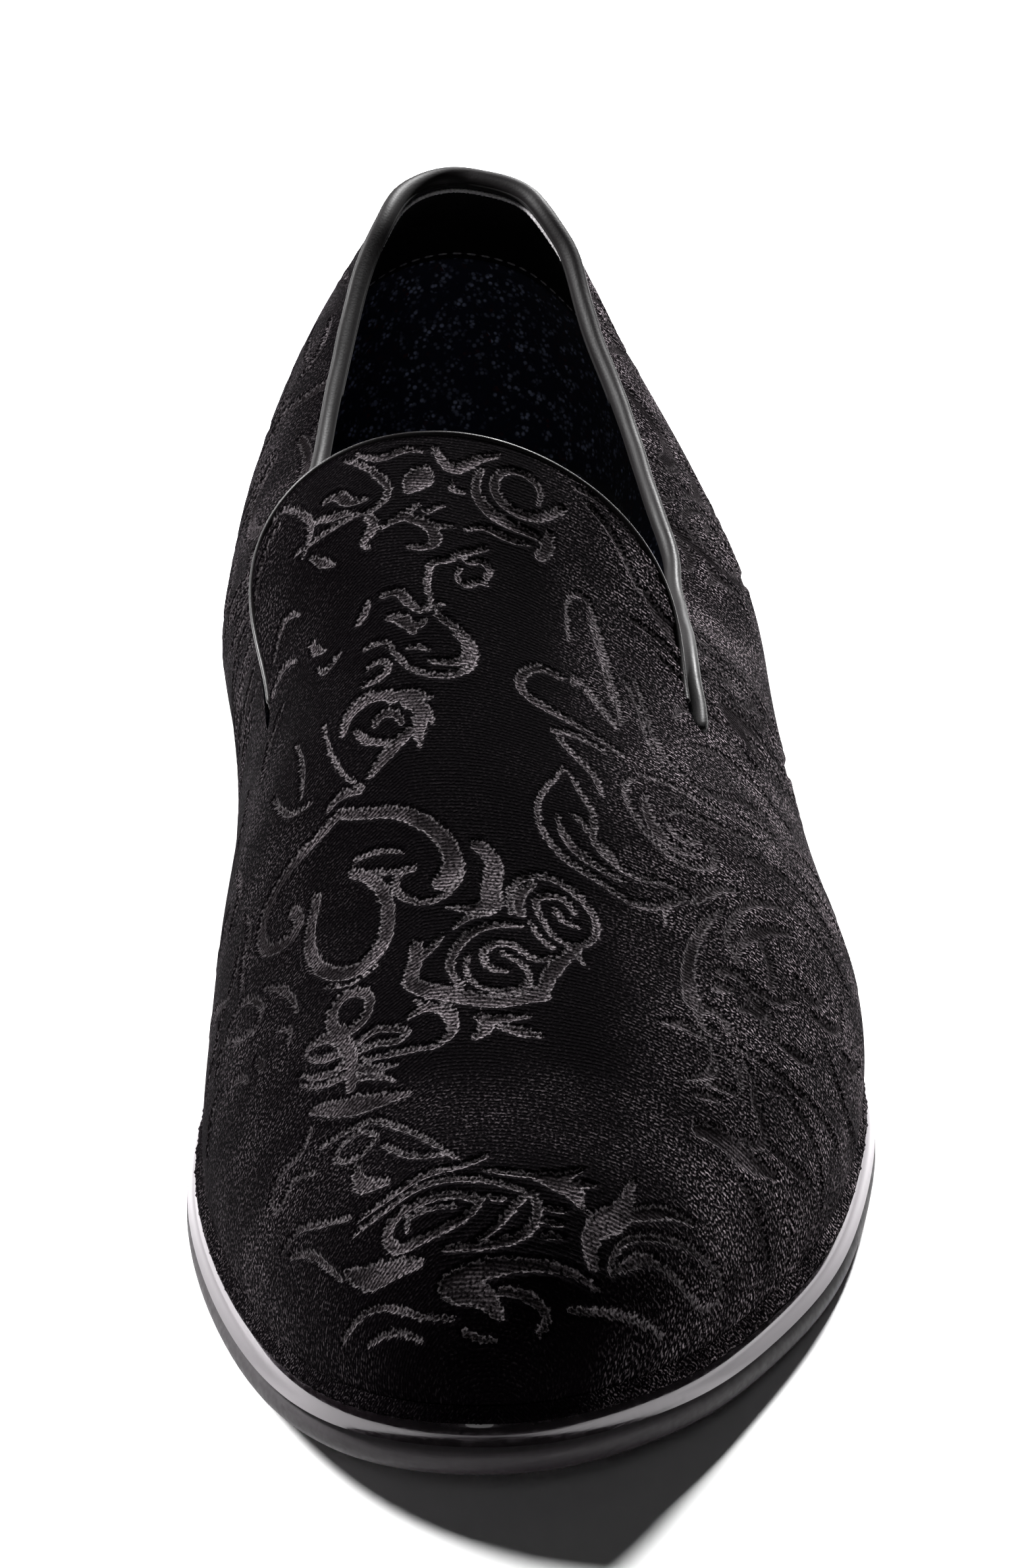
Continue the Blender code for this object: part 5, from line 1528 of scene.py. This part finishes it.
@dataclass(frozen=True)
class Layer:
    """One layer of the bottom: a lofted slab with a shaped edge."""

    name: str
    edge: tuple
    stations: int = 260
    across: int = 16

    def build(self, last: Last, material: bpy.types.Material, slot: str, node: str,
              breast: float | None = None) -> bpy.types.Object:
        """Make and dress the layer.

        Args:
            last: the last that gives the outline.
            material: the layer's finish.
            slot: the record's material slot.
            node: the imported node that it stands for.
            breast: the turn where a heel layer ends, or None for a layer down to the toe.

        Returns:
            The layer.
        """
        folds = np.linspace(0.0, math.pi if breast is None else breast, self.stations)
        medial, lateral = [], []
        for offset, height in self.edge:
            for turns, rows in ((folds, medial), (FULL_TURN - folds, lateral)):
                x, y, _, _ = last.outline_point(turns, offset)
                rows.append(np.stack([x, y, height(y)], axis=-1))
        share = np.linspace(0.0, 1.0, self.across + 1)[1:-1]
        top = [medial[-1] * (1.0 - s) + lateral[-1] * s for s in share]
        bottom = [lateral[0] * (1.0 - s) + medial[0] * s for s in share]
        for row in top:
            row[:, 2] = self.edge[-1][1](row[:, 1])
        for row in bottom:
            row[:, 2] = self.edge[0][1](row[:, 1])
        ring = medial + top + lateral[::-1] + bottom + medial[:1]
        points = np.stack(ring, axis=1)
        if breast is not None:
            middle = points[-1].mean(axis=0)
            cap = [middle + (points[-1:] - middle) * s for s in (0.999, 0.6, 0.3, 0.0)]
            points = np.concatenate([points, *cap], axis=0)
        uv = roll_uv(arc_lengths(points[:, 0]), arc_lengths(points[len(points) // 2]))
        piece = lay_grid(self.name, points, uv=uv, weld=True)
        piece.data.set_sharp_from_angle(angle=math.radians(50.0))
        ride_as(piece, material, slot, node)
        return piece


@dataclass(frozen=True)
class Bottom:
    """Insole, welt, outsole, heel block and top lift.

    An edge's fall is how far out of the outline it stands, in mm, at five heights going up.
    """

    last: Last
    welt_fall: tuple = (0.05, -0.20, -0.50, -0.85, -1.28)
    outsole_fall: tuple = (-1.4, -0.3, 0.2, -0.1, -0.9)
    heel_stations: int = 90

    def rounded(self, base: Callable, thickness: float, fall: tuple, steps: int = 9) -> tuple:
        """Return an edge from the base up.

        Args:
            base: height of the layer's underside over y.
            thickness: the layer's thickness.
            fall: the edge's offsets in mm at five heights from bottom to top.
            steps: points up the edge.

        Returns:
            Rows of an offset and a height function.
        """
        curve = spline(np.array([0.0, 0.2, 0.5, 0.8, 1.0]), np.array(fall) * MM)
        rows = []
        for share in np.linspace(0.0, 1.0, steps):
            lift = share * thickness
            rows.append((float(curve(share)), lambda y, lift=lift: base(y) + lift))
        return tuple(rows)

    def build(self, cotton: bpy.types.Material, welt: bpy.types.Material,
              outsole: bpy.types.Material, stack: bpy.types.Material,
              rubber: bpy.types.Material) -> None:
        """Make and dress the layers."""
        last = self.last
        inset = -(last.ledge + last.wall + 2.4 * last.gap) / MM
        sock = self.rounded(last.seat, last.insole, (inset, inset, inset, inset - 0.4, inset - 1.0))
        Layer("printed_sock", sock).build(last, cotton, "lining_print", "insole")
        edge = self.rounded(last.welt_base, last.welt, self.welt_fall)
        Layer("welt_layer", edge).build(last, welt, "welt_edge", "welt")
        edge = self.rounded(last.sole_curve, last.outsole, self.outsole_fall)
        Layer("outsole_layer", edge).build(last, outsole, "outsole_edge", "outsole")
        breast = float(turn_at(last.heel_length / last.length))
        block = ((-2.6 * MM, lambda y: np.full_like(y, last.top_lift + last.gap)),
                 (-1.9 * MM, lambda y: np.full_like(y, last.top_lift + 0.3 * last.heel_height)),
                 (-1.4 * MM, lambda y: last.sole_curve(y) - last.gap))
        Layer("heel_stack", block, self.heel_stations).build(
            last, stack, "heel_stack", "heel_block", breast)
        lift = ((-3.8 * MM, lambda y: np.zeros_like(y)),
                (-2.9 * MM, lambda y: np.full_like(y, 0.7 * MM)),
                (-2.6 * MM, lambda y: np.full_like(y, last.top_lift - 0.4 * MM)),
                (-3.0 * MM, lambda y: np.full_like(y, last.top_lift)))
        Layer("rubber_lift", lift, self.heel_stations).build(
            last, rubber, "top_lift_rubber", "top_lift", breast)


@dataclass(frozen=True)
class Studio:
    """White paper floor, soft lights and the camera in front and a little above."""

    camera_at: tuple = (-0.0386, -0.8060, 0.4700)
    aim: tuple = (-0.001, -0.006, 0.040)
    lens: float = 131.0
    floor_reach: float = 4.0
    air: float = 0.014

    def light(self, name: str, at: tuple, to: tuple, size: float, power: float) -> None:
        """Hang one soft box."""
        lamp = bpy.data.lights.new(name, "AREA")
        lamp.shape = "DISK"
        lamp.size = size
        lamp.energy = power
        box = bpy.data.objects.new(name, lamp)
        box.location = at
        box.rotation_euler = (Vector(to) - Vector(at)).to_track_quat("-Z", "Y").to_euler()
        bpy.context.scene.collection.objects.link(box)

    def build(self, paper: bpy.types.Material) -> None:
        """Set up the floor, the lights and the camera."""
        scene = bpy.context.scene
        rows, columns = np.meshgrid((-1.0, 0.0, 1.0), (-1.0, 0.0, 1.0), indexing="ij")
        corners = self.floor_reach * np.stack([columns, rows, 0.0 * rows], axis=-1)
        floor = lay_grid("paper_floor", corners, outward=np.full_like(corners, 1.0))
        floor.data.materials.append(paper)
        world = bpy.data.worlds.new("studio_air")
        world.use_nodes = True
        sky = world.node_tree.nodes["Background"].inputs
        sky["Color"].default_value, sky["Strength"].default_value = (1.0, 1.0, 1.0, 1.0), self.air
        scene.world = world
        scene.view_settings.view_transform = "Standard"
        # Each back light alone turns the paper white, so only what both miss is dark: a wedge
        self.light("medial_back_box", (-0.98, 0.62, 0.82), (0.0, -0.05, 0.0), 0.40, 56.0)
        self.light("lateral_back_box", (0.44, 1.10, 0.84), (0.0, -0.05, 0.0), 0.20, 66.0)
        self.light("front_box", (-0.25, -1.5, 1.3), (0.0, -0.05, 0.03), 0.5, 0.8)
        camera_data = bpy.data.cameras.new("camera")
        camera_data.lens = self.lens
        camera = bpy.data.objects.new("camera", camera_data)
        camera.location = self.camera_at
        aim = Vector(self.aim) - Vector(self.camera_at)
        camera.rotation_euler = aim.to_track_quat("-Z", "Y").to_euler()
        scene.collection.objects.link(camera)
        scene.camera = camera


def main() -> None:
    """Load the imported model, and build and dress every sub-assembly."""
    logging.basicConfig(level=logging.INFO, format="%(name)s: %(message)s")
    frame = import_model()
    LOG.info("frame %s", type(frame).__name__)
    last = Last()
    velvet = VelvetUpper(last, Cloth(last), ScrollChart())
    roll_leather = Leather("satin_calf_roll").build()
    edge_leather = Leather("glazed_calf_edge", Feel.GLAZED).build()
    patch_leather = Leather("calf_heel_patch", Feel.SUEDED, "#100e0f").build()
    cotton = PrintedCotton().build()
    velvet.build(EmbossedVelvet().build())
    Lining(last, velvet).build(cotton, patch_leather, RawEdge().build())
    CollarRoll(last).build(roll_leather)
    TongueEdge(last, velvet).build(edge_leather)
    Bottom(last).build(
        cotton,
        SoleEdge("waxed_welt_edge", "#070506", "#120f11", 0.13, 1.0).build(),
        SoleEdge("matt_leather_outsole", "#171416", "#312c30", 0.55, 0.0, specular=0.25).build(),
        SoleEdge("stacked_heel_leather", "#0d0b0b", "#1d1918", 0.34, 0.3, 2.8 * MM).build(),
        SoleEdge("moulded_rubber_lift", "#0f0e0e", "#191717", 0.65, 0.0).build(),
    )
    Studio().build(Paper().build())


if __name__ == "__main__":
    main()
